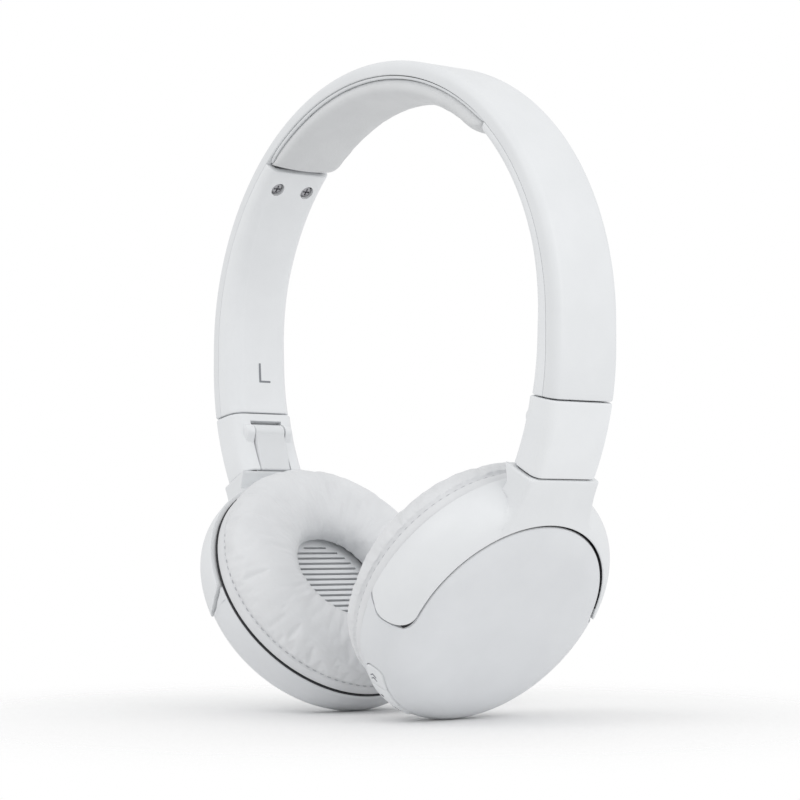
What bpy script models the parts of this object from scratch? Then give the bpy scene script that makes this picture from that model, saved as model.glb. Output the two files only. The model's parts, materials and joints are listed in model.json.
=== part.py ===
"""Folding headphones with padded cups on yokes that slide, fold inward, swivel and tilt.

Metres, +Z up. The origin is midway between the two cup pivots, +X is the wearer's right side and +Y the
wearer's front. Each side piece is modelled once, for the right side, and mirrored for the left.
"""

from math import ceil, cos, pi, radians, sin, sqrt, tan

import bmesh
import bpy
from mathutils import Matrix, Vector

# Clearances
GAP = 0.0003
SEAM_GAP = 0.0004
RECESS_GAP = 0.0007

# Headband
BAND_RADIUS = 0.0713
BAND_WIDTH = 0.021
BAND_CORNER = 0.0025
STRIP_DEPTH = 0.0040
STRIP_SKIN = 0.0018
STRIP_WALL = 0.0016
ARM_STRAIGHT = 0.0056
ARM_DEPTH = 0.0103
COVER_TOP_ANGLE = radians(42.1)
COVER_TOP_DEPTH = 0.0071
COVER_SKIN = 0.0016
COVER_CORNER = 0.0045
CARRIER_ANGLE = radians(44.1)
CUSHION_ANGLE = radians(41.2)
CUSHION_DEPTH = 0.0062
CUSHION_END = 0.0060
ARM_SCREW_ANGLE = radians(47.3)
ARM_SCREW_SPACING = 0.0100

# Height slider and fold hinge
HOUSING_LENGTH = 0.0200
HOUSING_CORNER = 0.0035
GUIDE_LENGTH = 0.0060
BLADE_WIDTH = 0.0120
BLADE_THICKNESS = 0.0020
BLADE_REACH = 0.0320
BLADE_FOOT = 0.0030
FOLD_RISE = 0.0125
FOLD_PIN_DEPTH = 0.0005
FOLD_PIN_RADIUS = 0.0009
KNUCKLE_RADIUS = 0.0021
EAR_WIDTH = 0.0160
TONGUE_WIDTH = 0.0100
TONGUE_DEPTH = 0.0071
TONGUE_SHOULDER = 0.0044

# Yoke
STEM_TILT = radians(27.5)
CUP_LEAN = radians(7)
STEM_ABOVE_CUP = 0.0054
STEM_INSET = 0.0012
STEM_HEEL = 0.0029
STEM_TOP_WIDTH = 0.0234
STEM_BASE_WIDTH = 0.0320
STEM_CHAMFER = 0.0009
SWIVEL_OFFSET = 0.0016
POST_RADIUS = 0.0023
POST_LENGTH = 0.0066
POST_NECK_RADIUS = 0.0016
LOCK_PIN_RADIUS = 0.0005
LOCK_PIN_RISE = 0.0048
PLATE_THICKNESS = 0.0023
PLATE_EDGE = 0.0005
PLATE_PROUD = 0.0006
ARC_BELOW_RIM = 0.0052
ARC_DROP = 0.0010
TIP_ANGLE = radians(93.5)
TIP_ROUNDING = radians(8.5)
TIP_FULLNESS = 2.6
PIVOT_PIN_RADIUS = 0.0012

# Cup
CUP_RIM_RADIUS = 0.0350
CUP_DRAFT = 0.0003
CUP_SHOULDER = 0.0142
CUP_RIM_HEIGHT = 0.0030
CUP_ROUNDNESS = 2.3
SEAM_BELOW_PIVOT = 0.0070
FACE_ABOVE_PIVOT = 0.0065
SHELL_THICKNESS = 0.0040
MOUTH_WALL = 0.0042
BAFFLE_THICKNESS = 0.0021
DRIVER_SETBACK = 0.0212
DRIVER_DEPTH = 0.0062
BASKET_WIDTH = 0.0070
BASKET_LIP = 0.0015
GRILLE_LAP = 0.0018
GRILLE_THICKNESS = 0.0012
SLOT_PITCH = 0.0017
SLOT_WIDTH = 0.0007
SLOT_MARGIN = 0.0030
SCREW_SETBACK = 0.0069
SCREW_TURN = radians(190)
SCREWS = 3
BOSS_RADIUS = 0.0024

# Ear pad
PAD_SETBACK = 0.0010
PAD_DEPTH = 0.0120
PAD_LAP = 0.0026
PAD_SKIRT = 0.0032
PAD_ROUNDNESS = 2.3
PAD_RING_SETBACK = 0.0020
PAD_RING_CLEARANCE = 0.0017
PAD_RING_THICKNESS = 0.0016

# Fasteners
HEAD_RADIUS = 0.0017
HEAD_THICKNESS = 0.0008
SHANK_RADIUS = 0.0008
SCREW_LENGTH = 0.0042

# Controls and electronics
BUTTON_MIDDLE = radians(40)
BUTTON_SPAN = radians(13.4)
BUTTON_HEIGHT = 0.0050
BUTTON_ABOVE_SEAM = 0.0058
BUTTON_PROUD = 0.0004
BUTTON_DEPTH = 0.0042
SOCKET_ANGLE = radians(27)
SOCKET_WIDTH = 0.0076
SOCKET_HEIGHT = 0.0028
SOCKET_DEPTH = 0.0072
SOCKET_SINK = 0.0006
BOARD_WIDTH = 0.0220
BOARD_LENGTH = 0.0098
BOARD_THICKNESS = 0.0010
BATTERY_THICKNESS = 0.0038

# Mesh fineness
BAND_STEP = 0.0100
CORNER_STEPS = 3
CUP_SEGMENTS = 36
CUP_RINGS = 6
INNER_RINGS = 3
PAD_RINGS = 11
PLATE_COLUMNS = 18
PLATE_ROWS = 4
TIP_COLUMNS = 3
CUSHION_STEPS = 16
SMALL_SEGMENTS = 20
ROD_SEGMENTS = 8
SMOOTH_ANGLE = radians(35)

# Radii and lengths that follow the cup's rim
CUP_SEAM_RADIUS = CUP_RIM_RADIUS - CUP_DRAFT
CUP_FLAT_RADIUS = CUP_RIM_RADIUS - CUP_SHOULDER
ARC_RADIUS = CUP_RIM_RADIUS - ARC_BELOW_RIM
STEM_LENGTH = CUP_RIM_RADIUS + STEM_ABOVE_CUP
BUTTON_ROOT = CUP_RIM_RADIUS - BUTTON_DEPTH
SCREW_CIRCLE = CUP_SEAM_RADIUS - SCREW_SETBACK
DRIVER_RADIUS = CUP_RIM_RADIUS - DRIVER_SETBACK
MAGNET_RADIUS = DRIVER_RADIUS - BASKET_WIDTH
GRILLE_RADIUS = DRIVER_RADIUS + GRILLE_LAP
BOARD_INNER = DRIVER_RADIUS + 2 * GAP
PAD_RADIUS = CUP_RIM_RADIUS - PAD_SETBACK
PAD_HOLE_RADIUS = GRILLE_RADIUS - PAD_LAP
PAD_RING_RADIUS = PAD_RADIUS - PAD_RING_SETBACK
PAD_RING_HOLE = GRILLE_RADIUS + PAD_RING_CLEARANCE

# Places along the band, measured over its outer face from the top
QUARTER = BAND_RADIUS * pi / 2
LOWER_START = QUARTER + ARM_STRAIGHT
BAND_END = LOWER_START + BAND_RADIUS * STEM_TILT
ARM_END = BAND_END - HOUSING_LENGTH
COVER_START = BAND_RADIUS * COVER_TOP_ANGLE

# Heights of the cup above its pivot, along the cup's own axis
SEAM = -SEAM_BELOW_PIVOT
SHOULDER = SEAM + CUP_RIM_HEIGHT
BAFFLE_BACK = SEAM + BAFFLE_THICKNESS
DRIVER_FRONT = BAFFLE_BACK + GAP

# Places in the plane of the band, from the cup pivot up the stem to the band
CUP_TILT = STEM_TILT + CUP_LEAN
CUP_OUTWARD = Vector((cos(CUP_TILT), 0.0, -sin(CUP_TILT)))
CUP_UPWARD = Vector((sin(CUP_TILT), 0.0, cos(CUP_TILT)))
OUTWARD = Vector((cos(STEM_TILT), 0.0, -sin(STEM_TILT)))
UPWARD = Vector((sin(STEM_TILT), 0.0, cos(STEM_TILT)))
SEAM_X = (BAND_RADIUS - ARM_DEPTH / 2) * cos(STEM_TILT)
PIVOT = Vector((SEAM_X, 0.0, 0.0)) + CUP_OUTWARD * STEM_INSET - CUP_UPWARD * STEM_LENGTH
PIVOT.z = 0.0
STEM_SEAM = PIVOT - CUP_OUTWARD * STEM_INSET + CUP_UPWARD * STEM_LENGTH
SWIVEL_PLACE = STEM_SEAM - OUTWARD * SWIVEL_OFFSET - UPWARD * STEM_LENGTH
LOWER_Z = STEM_SEAM.z + (BAND_RADIUS - ARM_DEPTH / 2) * sin(STEM_TILT)
BAND_Z = LOWER_Z + ARM_STRAIGHT
FOLD_ANGLE = STEM_TILT - FOLD_RISE / (BAND_RADIUS - ARM_DEPTH / 2)
FOLD_RADIUS = BAND_RADIUS - ARM_DEPTH + FOLD_PIN_DEPTH
FOLD_PLACE = Vector((FOLD_RADIUS * cos(FOLD_ANGLE), 0.0, LOWER_Z - FOLD_RADIUS * sin(FOLD_ANGLE)))
FOLD_ABOVE_SEAM = (FOLD_PLACE - STEM_SEAM).dot(UPWARD)
FOLD_TO_CENTRE = (STEM_SEAM - FOLD_PLACE).dot(OUTWARD)


def clear_scene():
    """Remove whatever the opened file holds."""
    for item in list(bpy.data.objects):
        bpy.data.objects.remove(item, do_unlink=True)


def make_material(name, colour, roughness, metallic=0.0):
    """One Principled material for one sub-part."""
    material = bpy.data.materials.new(name)
    material.use_nodes = True
    shader = material.node_tree.nodes["Principled BSDF"]
    shader.inputs["Base Color"].default_value = (*colour, 1.0)
    shader.inputs["Roughness"].default_value = roughness
    shader.inputs["Metallic"].default_value = metallic
    material.diffuse_color = (*colour, 1.0)
    return material


# A solid is a pair: a list of points and a list of faces, each face a tuple of point numbers.


def solid_mesh(name, solid):
    """Mesh of a solid with its faces turned outward."""
    points, faces = solid
    mesh = bpy.data.meshes.new(name)
    mesh.from_pydata([tuple(point) for point in points], [], faces)
    work = bmesh.new()
    work.from_mesh(mesh)
    bmesh.ops.recalc_face_normals(work, faces=work.faces)
    work.to_mesh(mesh)
    work.free()
    return mesh


def moved(solid, matrix):
    """The solid carried by a matrix."""
    points, faces = solid
    return [matrix @ Vector(point) for point in points], faces


def mirrored(solid):
    """The solid reflected to the other side."""
    points, faces = solid
    return [(-x, y, z) for x, y, z in points], faces


def joined(solids):
    """Several separate solids as one list of points and faces, for use as one cutter."""
    points, faces = [], []
    for more_points, more_faces in solids:
        start = len(points)
        points.extend(more_points)
        faces.extend(tuple(start + number for number in face) for face in more_faces)
    return points, faces


def combine(base, tool, operation):
    """Result of a Boolean between two solids."""
    pair = []
    for label, solid in (("base", base), ("tool", tool)):
        item = bpy.data.objects.new(label, solid_mesh(label, solid))
        bpy.context.scene.collection.objects.link(item)
        pair.append(item)
    modifier = pair[0].modifiers.new("boolean", "BOOLEAN")
    modifier.operation = operation
    modifier.solver = "EXACT"
    modifier.object = pair[1]
    graph = bpy.context.evaluated_depsgraph_get()
    result = pair[0].evaluated_get(graph).to_mesh()
    points = [vertex.co.copy() for vertex in result.vertices]
    faces = [tuple(polygon.vertices) for polygon in result.polygons]
    for item in pair:
        bpy.data.objects.remove(item, do_unlink=True)
    return points, faces


def cut(base, *tools):
    """The base with every tool taken out of it."""
    return combine(base, joined(tools), "DIFFERENCE")


def ring_solid(rings):
    """Skin over rings of points that have the same count, closed at both ends."""
    count = len(rings[0])
    points = [point for ring in rings for point in ring]
    faces = [tuple(range(count)), tuple(range(len(points) - count, len(points)))]
    for row in range(len(rings) - 1):
        for column in range(count):
            after = (column + 1) % count
            low, high = row * count, (row + 1) * count
            faces.append((low + column, low + after, high + after, high + column))
    return points, faces


def slab_solid(front, back):
    """Solid between two grids of points that have the same rows and columns."""
    rows, columns = len(front), len(front[0])
    points = [point for grid in (front, back) for row in grid for point in row]
    grid_faces = [(row * columns + column, row * columns + column + 1, (row + 1) * columns + column + 1,
                   (row + 1) * columns + column) for row in range(rows - 1) for column in range(columns - 1)]
    behind = rows * columns
    faces = grid_faces + [tuple(behind + number for number in face) for face in grid_faces]
    rim = list(range(columns)) + [row * columns + columns - 1 for row in range(1, rows)]
    rim += [behind - 1 - column for column in range(1, columns)]
    rim += [row * columns for row in range(rows - 2, 0, -1)]
    for here, after in zip(rim, rim[1:] + rim[:1]):
        faces.append((here, after, behind + after, behind + here))
    return points, faces


def spread(start, end, steps):
    """Evenly spaced values from start to end."""
    return [start + (end - start) * step / steps for step in range(steps + 1)]


def circle(radius, height, segments):
    """Ring of points about X."""
    angles = spread(0.0, 2 * pi, segments)[:-1]
    return [(height, radius * sin(angle), radius * cos(angle)) for angle in angles]


def turned_solid(profile, segments):
    """Profile of (radius, height) points turned about X, with flat ends over its first and last point."""
    return ring_solid([circle(radius, height, segments) for radius, height in profile])


def turned_ring(profile, segments):
    """Closed profile of (radius, height) points turned about X, with the axis left open."""
    points = [point for radius, height in profile for point in circle(radius, height, segments)]
    faces = []
    for row in range(len(profile)):
        low, high = row * segments, (row + 1) % len(profile) * segments
        for step in range(segments):
            after = (step + 1) % segments
            faces.append((low + step, low + after, high + after, high + step))
    return points, faces


def rod(radius, start, end, segments=ROD_SEGMENTS):
    """Plain round rod along X."""
    return turned_solid([(radius, start), (radius, end)], segments)


def along_y(solid):
    """A solid made along X, laid along Y."""
    return moved(solid, Matrix.Rotation(pi / 2, 4, "Z"))


def along_z(solid):
    """A solid made along X, stood along Z."""
    return moved(solid, Matrix.Rotation(-pi / 2, 4, "Y"))


def at(x, y, z):
    return Matrix.Translation((x, y, z))


def box(low, high):
    """Plain block between two corners."""
    base = [(low[0], low[1]), (high[0], low[1]), (high[0], high[1]), (low[0], high[1])]
    return ring_solid([[(x, y, z) for x, y in base] for z in (low[2], high[2])])


def plank(outline, half_width):
    """Outline of (x, z) points given a width along Y."""
    return ring_solid([[(x, y, z) for x, z in outline] for y in (-half_width, half_width)])


def arc(centre, radius, start, end, steps):
    """Points along an arc in a plane."""
    angles = spread(start, end, steps)
    return [(centre[0] + radius * cos(angle), centre[1] + radius * sin(angle)) for angle in angles]


def band_place(length):
    """Point on the band's outer face and the inward direction there, at a length from the top."""
    side = -1.0 if length < 0 else 1.0
    run = abs(length)
    if run <= QUARTER:
        angle = run / BAND_RADIUS
        place = (BAND_RADIUS * sin(angle), BAND_Z + BAND_RADIUS * cos(angle))
        inward = (-sin(angle), -cos(angle))
    elif run <= LOWER_START:
        place = (BAND_RADIUS, BAND_Z - (run - QUARTER))
        inward = (-1.0, 0.0)
    else:
        angle = (run - LOWER_START) / BAND_RADIUS
        place = (BAND_RADIUS * cos(angle), LOWER_Z - BAND_RADIUS * sin(angle))
        inward = (-cos(angle), sin(angle))
    return Vector((side * place[0], 0.0, place[1])), Vector((side * inward[0], 0.0, inward[1]))


def band_ring(length, section):
    """Ring of a section of (y, depth) points set across the band."""
    place, inward = band_place(length)
    return [place + inward * depth + Vector((0.0, y, 0.0)) for y, depth in section]


def band_solid(start, end, section_at):
    """Section swept along the band from one length to another."""
    steps = max(2, ceil((end - start) / BAND_STEP))
    return ring_solid([band_ring(length, section_at(length)) for length in spread(start, end, steps)])


def cushion():
    """Head pad, with its rings closer together towards the rounded ends."""
    reach = BAND_RADIUS * CUSHION_ANGLE
    lengths = [reach * sin(turn) for turn in spread(-pi / 2, pi / 2, CUSHION_STEPS)]
    return ring_solid([band_ring(length, cushion_section(length)) for length in lengths])


def arm_depth(length):
    """Depth of the closed arm from its outer to its inner face."""
    share = (abs(length) - COVER_START) / (ARM_END - COVER_START)
    return COVER_TOP_DEPTH + (ARM_DEPTH - COVER_TOP_DEPTH) * share


def outer_corners(half):
    """Rounded outer edges of the band, from one side to the other."""
    radius = BAND_CORNER
    left = arc((-half + radius, radius), radius, pi, 1.5 * pi, CORNER_STEPS)
    right = arc((half - radius, radius), radius, 1.5 * pi, 2 * pi, CORNER_STEPS)
    return left + right


def inner_corners(half, depth, radius):
    """Rounded inner edges of an arm, from one side to the other."""
    left = arc((-half + radius, depth - radius), radius, pi, pi / 2, CORNER_STEPS)
    right = arc((half - radius, depth - radius), radius, pi / 2, 0.0, CORNER_STEPS)
    return left + right


def strip_section(length):
    """Shallow channel of the outer strip."""
    half = BAND_WIDTH / 2
    trough = half - STRIP_WALL
    section = [(-half, STRIP_DEPTH)] + outer_corners(half) + [(half, STRIP_DEPTH)]
    section += [(trough, STRIP_DEPTH), (trough, STRIP_SKIN), (-trough, STRIP_SKIN), (-trough, STRIP_DEPTH)]
    return section


def cover_trough(length, clearance):
    """Hollow inside an arm cover, from its open edge down one side and up the other."""
    half = BAND_WIDTH / 2 - STRIP_WALL - clearance
    floor = arm_depth(length) - COVER_SKIN - clearance
    edge = STRIP_DEPTH + GAP
    slope = 0.7 * (floor - edge)
    return [(half, edge), (half, floor - slope), (half - slope, floor),
            (slope - half, floor), (-half, floor - slope), (-half, edge)]


def cover_section(length):
    """Inner half of an arm, open towards the strip."""
    half = BAND_WIDTH / 2
    edge = STRIP_DEPTH + GAP
    depth = arm_depth(length)
    radius = min(COVER_CORNER, depth - edge - GAP)
    section = [(-half, edge)] + inner_corners(half, depth, radius) + [(half, edge)]
    return section + cover_trough(length, 0.0)


def carrier_section(length):
    half = BAND_WIDTH / 2 - STRIP_WALL - GAP
    low, high = STRIP_SKIN + GAP, STRIP_DEPTH - GAP
    return [(-half, low), (half, low), (half, high), (-half, high)]


def cushion_section(length):
    """Crowned pad, drawn in where it meets the carrier and rounded off at both ends."""
    reach = BAND_RADIUS * CUSHION_ANGLE
    past = max(0.0, abs(length) - (reach - CUSHION_END)) / CUSHION_END
    taper = max(0.3, sqrt(max(0.0, 1.0 - past ** 2)))
    half = BAND_WIDTH / 2 * (0.9 + 0.1 * taper)
    top = STRIP_DEPTH + GAP
    waist = top + 0.3 * CUSHION_DEPTH * taper
    crown = 0.7 * CUSHION_DEPTH * taper
    section = [(-0.92 * half, top)]
    for angle in spread(pi, 0.0, 10):
        section.append((half * cos(angle), waist + crown * sin(angle) ** 0.8))
    return section + [(0.92 * half, top)]


def housing_section(length):
    half = BAND_WIDTH / 2
    return outer_corners(half) + inner_corners(half, ARM_DEPTH, HOUSING_CORNER)[::-1]


def guide_section(length):
    """Plug that fills the hollow of the closed arm."""
    half = BAND_WIDTH / 2 - STRIP_WALL - GAP
    floor = STRIP_SKIN + GAP
    return [(-half, floor), (half, floor)] + cover_trough(length, GAP)


def arm_screw_frames():
    """Matrices that stand X of a screw along the depth of the band, at each arm screw of the right side."""
    place, inward = band_place(BAND_RADIUS * ARM_SCREW_ANGLE)
    across = Vector((0.0, 1.0, 0.0))
    upright = inward.cross(across)
    frames = {}
    for label, y in (("front", ARM_SCREW_SPACING / 2), ("back", -ARM_SCREW_SPACING / 2)):
        rotation = Matrix((inward, across, upright)).transposed().to_4x4()
        frames[label] = Matrix.Translation(place + across * y) @ rotation
    return frames


def screw_solid(top, direction, length):
    """Screw along X with its head's outer face at top, pointing the way of direction."""
    under = top + direction * HEAD_THICKNESS
    end = top + direction * length
    tip = end - direction * SHANK_RADIUS
    profile = [(HEAD_RADIUS, top), (HEAD_RADIUS, under), (SHANK_RADIUS, under), (SHANK_RADIUS, tip)]
    return turned_solid(profile + [(SHANK_RADIUS / 3, end)], ROD_SEGMENTS)


def screw_hole(top, direction, through):
    """Stepped hole for the same screw, open past the head."""
    open_end = top - direction * HEAD_THICKNESS
    under = top + direction * (HEAD_THICKNESS + GAP)
    head, shank = HEAD_RADIUS + GAP, SHANK_RADIUS + GAP
    profile = [(head, open_end), (head, under), (shank, under), (shank, top + direction * through)]
    return turned_solid(profile, ROD_SEGMENTS)


def arm_screw_depth():
    """Depth of the screw heads' outer face below the band's outer face."""
    return arm_depth(BAND_RADIUS * ARM_SCREW_ANGLE) - GAP


def outer_strip():
    """Outer strip with four screw bosses inside."""
    strip = band_solid(-ARM_END, ARM_END, strip_section)
    boss_end = arm_screw_depth() - COVER_SKIN - GAP
    bosses, holes = [], []
    for frame in arm_screw_frames().values():
        boss = moved(rod(BOSS_RADIUS, STRIP_SKIN / 2, boss_end), frame)
        hole = moved(screw_hole(arm_screw_depth(), -1.0, SCREW_LENGTH + GAP), frame)
        bosses += [boss, mirrored(boss)]
        holes += [hole, mirrored(hole)]
    return cut(combine(strip, joined(bosses), "UNION"), *holes)


def arm_cover():
    cover = band_solid(COVER_START, ARM_END, cover_section)
    holes = [moved(screw_hole(arm_screw_depth(), -1.0, SCREW_LENGTH + GAP), frame)
             for frame in arm_screw_frames().values()]
    return cut(cover, *holes)


def blade_x():
    """Place of the straight blade across the curved arm."""
    middles = []
    for length in (ARM_END, QUARTER):
        place, inward = band_place(length)
        middle = (STRIP_SKIN + arm_depth(length) - COVER_SKIN) / 2
        middles.append((place + inward * middle).x)
    return sum(middles) / len(middles)


def blade_seam_z():
    """Height of the seam between arm and housing at the blade."""
    place, inward = band_place(ARM_END)
    return (place + inward * ARM_DEPTH / 2).z


def blade_solid(clearance):
    """Straight blade with cut corners at its top."""
    half = BLADE_WIDTH / 2 + clearance
    thick = BLADE_THICKNESS / 2 + clearance
    low = blade_seam_z() - BLADE_FOOT - clearance
    high = blade_seam_z() + BLADE_REACH
    corner = BLADE_WIDTH / 4
    outline = [(-half, low), (half, low), (half, high - corner), (half - corner, high),
               (corner - half, high), (-half, high - corner)]
    return ring_solid([[(x, y, z) for y, z in outline] for x in (blade_x() - thick, blade_x() + thick)])


def slide_guide():
    guide = band_solid(ARM_END - GUIDE_LENGTH, ARM_END, guide_section)
    return cut(guide, blade_solid(GAP))


def tongue_inner():
    """Inner face of the tongue at the stem seam, across from the fold pin."""
    return FOLD_TO_CENTRE - ARM_DEPTH / 2


def tongue_slot():
    """Slot of the housing that the tongue folds out of, in the fold frame."""
    back = tongue_inner() + TONGUE_DEPTH + GAP
    roof = KNUCKLE_RADIUS + 3 * GAP
    out = -2 * ARM_DEPTH
    floor = -2 * FOLD_RISE
    outline = [(out, floor), (back, floor), (back, -TONGUE_SHOULDER + GAP), (roof, 2 * GAP), (roof, roof),
               (out, roof)]
    return plank(outline, TONGUE_WIDTH / 2 + GAP)


def hinge_housing():
    """End of the arm that slides down, with the fold slot, pin ears and a pocket for the blade's foot."""
    fold = FRAMES["fold"]
    housing = band_solid(ARM_END + SEAM_GAP, BAND_END, housing_section)
    ears = moved(along_y(rod(KNUCKLE_RADIUS, -EAR_WIDTH / 2, EAR_WIDTH / 2, SMALL_SEGMENTS)), fold)
    housing = combine(housing, ears, "UNION")
    bore_half = EAR_WIDTH / 2 - 3 * GAP
    bore = moved(along_y(rod(FOLD_PIN_RADIUS + GAP, -bore_half, bore_half)), fold)
    housing = cut(housing, moved(tongue_slot(), fold))
    return cut(housing, bore, blade_solid(GAP))


def fold_pin():
    half = EAR_WIDTH / 2 - 4 * GAP
    return moved(along_y(rod(FOLD_PIN_RADIUS, -half, half)), FRAMES["fold"])


def swivel_axis_x():
    """Place of the swivel axis across from the fold pin."""
    return FOLD_TO_CENTRE - SWIVEL_OFFSET


def lock_pin_place():
    offset = POST_NECK_RADIUS + LOCK_PIN_RADIUS + GAP / 2
    return at(swivel_axis_x() + offset, 0.0, LOCK_PIN_RISE - FOLD_ABOVE_SEAM)


def fold_arm():
    """Tongue that hangs on the fold pin and holds the yoke's post."""
    front = tongue_inner()
    back = front + TONGUE_DEPTH
    knuckle = arc((0.0, 0.0), KNUCKLE_RADIUS, radians(45), radians(225), 6)
    outline = [(front, -FOLD_ABOVE_SEAM), (back, -FOLD_ABOVE_SEAM), (back, -TONGUE_SHOULDER)] + knuckle
    tongue = plank(outline, TONGUE_WIDTH / 2)
    pin_bore = along_y(rod(FOLD_PIN_RADIUS + GAP, -TONGUE_WIDTH, TONGUE_WIDTH))
    post_bore = along_z(rod(POST_RADIUS + GAP, -POST_LENGTH, POST_LENGTH + GAP))
    post_bore = moved(post_bore, at(swivel_axis_x(), 0.0, -FOLD_ABOVE_SEAM))
    lock_bore = moved(along_y(rod(LOCK_PIN_RADIUS + GAP, -TONGUE_WIDTH, TONGUE_WIDTH)), lock_pin_place())
    return cut(cut(tongue, pin_bore, post_bore), lock_bore)


def lock_pin():
    half = TONGUE_WIDTH / 2 - GAP
    return moved(along_y(rod(LOCK_PIN_RADIUS, -half, half)), lock_pin_place())


def dome(turn, inset):
    """Radius and height on the cup's side and rounded shoulder, set in from its outer face.

    The turn runs from 0 at the rim to a quarter turn at the flat face, and below 0 down the upright side.
    """
    if turn < 0:
        return CUP_RIM_RADIUS - inset, SHOULDER + CUP_RIM_RADIUS * turn
    reach, rise = CUP_RIM_RADIUS - CUP_FLAT_RADIUS, FACE_ABOVE_PIVOT - SHOULDER
    level = max(0.0, cos(turn)) ** (2 / CUP_ROUNDNESS)
    height = max(0.0, sin(turn)) ** (2 / CUP_ROUNDNESS)
    slope = Vector((level ** (CUP_ROUNDNESS - 1) / reach, height ** (CUP_ROUNDNESS - 1) / rise))
    slope.normalize()
    return CUP_FLAT_RADIUS + reach * level - inset * slope.x, SHOULDER + rise * height - inset * slope.y


def dome_turn(inset, passed):
    """Turn at which a point of the cup's side, taken towards its face, first passes a test."""
    low, high = -pi / 4, pi / 2
    for _ in range(40):
        middle = (low + high) / 2
        if passed(*dome(middle, inset)):
            high = middle
        else:
            low = middle
    return high


def side_radius(height):
    """Radius of the cup's outer face at a height."""
    return dome(dome_turn(0.0, lambda radius, level: level >= height), 0.0)[0]


def dome_profile(inset, rings):
    """Profile of the shoulder from the rim to the edge of the flat face."""
    return [dome(turn, inset) for turn in spread(0.0, pi / 2, rings)]


def fork_turns(angle, grow, inset):
    """Turns across the fork at an angle round the cup, from lower edge to arc, rounded at the tips."""
    radius = ARC_RADIUS - grow
    arc_edge = -ARC_DROP * cos(angle) + sqrt(radius ** 2 - (ARC_DROP * sin(angle)) ** 2)
    low_edge = SEAM + PLATE_EDGE - grow
    low = dome_turn(inset, lambda radius, height: height >= low_edge)
    high = dome_turn(inset, lambda radius, height: radius <= arc_edge)
    past = max(0.0, abs(angle) - (fork_reach(grow) - TIP_ROUNDING)) / TIP_ROUNDING
    taper = max(0.3, max(0.0, 1.0 - past ** TIP_FULLNESS) ** (1 / TIP_FULLNESS))
    middle, half = (low + high) / 2, (high - low) / 2
    return spread(middle - half * taper, middle + half * taper, PLATE_ROWS)


def fork_reach(grow):
    """Angle round the cup from the stem to the end of a fork tip."""
    return TIP_ANGLE + grow / CUP_RIM_RADIUS


def fork_angles(grow):
    """Angles from tip to tip of the fork, closer together in the rounding of the tips."""
    plain = fork_reach(grow) - TIP_ROUNDING
    tip = [plain + TIP_ROUNDING * sin(turn) for turn in spread(0.0, pi / 2, TIP_COLUMNS)[1:]]
    return [-angle for angle in tip[::-1]] + spread(-plain, plain, PLATE_COLUMNS) + tip


def fork_solid(grow, profile_at):
    """Solid swept round the cup from tip to tip of the fork, from a profile for each angle."""
    rings = []
    for angle in fork_angles(grow):
        profile = profile_at(angle, grow)
        rings.append([(height, radius * sin(angle), radius * cos(angle)) for radius, height in profile])
    return ring_solid(rings)


def plate_profile(angle, grow):
    """Plate that stands a little proud of the cup's side and shoulder."""
    outer = [dome(turn, -PLATE_PROUD) for turn in fork_turns(angle, grow, -PLATE_PROUD)]
    inner = [dome(turn, PLATE_THICKNESS) for turn in fork_turns(angle, grow, PLATE_THICKNESS)]
    return outer + inner[::-1]


def recess_profile(angle, grow):
    """Room for the plate, with a level ledge along its lower edge and an upright wall along its arc."""
    inset = PLATE_THICKNESS + grow
    floor = [dome(turn, inset) for turn in fork_turns(angle, grow, inset)]
    leans = spread(0.0, pi / 2, PLATE_ROWS)
    reach = 2 * SHELL_THICKNESS
    roof = [(radius + reach * cos(lean), height + reach * sin(lean))
            for (radius, height), lean in zip(floor, leans)]
    return roof + floor[::-1]


def stem_top(out):
    """Height up the cup's frame of the stem's top, which leans with the arm, at a distance out of the cup."""
    return STEM_LENGTH + (out + STEM_INSET) * tan(CUP_LEAN) - SEAM_GAP / cos(CUP_LEAN)


def stem_point(share, across, outer, edge):
    """Point of the stem's face or back, a share of the way down and across, set in at its edges."""
    half_top, half_base = STEM_TOP_WIDTH / 2, STEM_BASE_WIDTH / 2
    half_depth = ARM_DEPTH / 2 * cos(CUP_LEAN)
    trim = ARC_RADIUS + GAP / 2
    top_out = half_depth - STEM_INSET if outer else -half_depth - STEM_INSET
    top = stem_top(top_out)
    half = half_top + (half_base - half_top) * share ** 2.2
    base = -ARC_DROP + sqrt(trim ** 2 - (across * half_base) ** 2)
    up = top + (base - top) * share
    if outer:
        turn = dome_turn(-PLATE_PROUD, lambda radius, height: radius <= trim - ARC_DROP)
        fall = (dome(turn, -PLATE_PROUD)[1] - top_out) / (top - trim + ARC_DROP)
        out = top_out + fall * (top - up)
    else:
        heel = CUP_RIM_RADIUS + STEM_CHAMFER
        out = top_out + (-STEM_HEEL - top_out) * min(1.0, (top - up) / (top - heel))
    return out - edge * STEM_CHAMFER, across * (half - (0.0 if edge else STEM_CHAMFER) * outer), up


def stem_block():
    """Flat-faced stem that widens from the leaning seam towards the cup and ends along the fork's arc."""
    shares = spread(0.0, 1.0, 6)
    across = spread(-1.0, 1.0, 8)
    face = []
    for share in shares:
        row = [stem_point(share, place, True, 0.0) for place in across]
        face.append([stem_point(share, -1.0, True, 1.0)] + row + [stem_point(share, 1.0, True, 1.0)])
    back = [[stem_point(share, place, False, 0.0) for place in [-1.0] + across + [1.0]] for share in shares]
    return slab_solid(face, back)


def into_swivel(solid):
    """A solid of the cup's frame, given in the swivel frame."""
    return moved(solid, FRAMES["swivel"].inverted() @ FRAMES["cup"])


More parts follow.
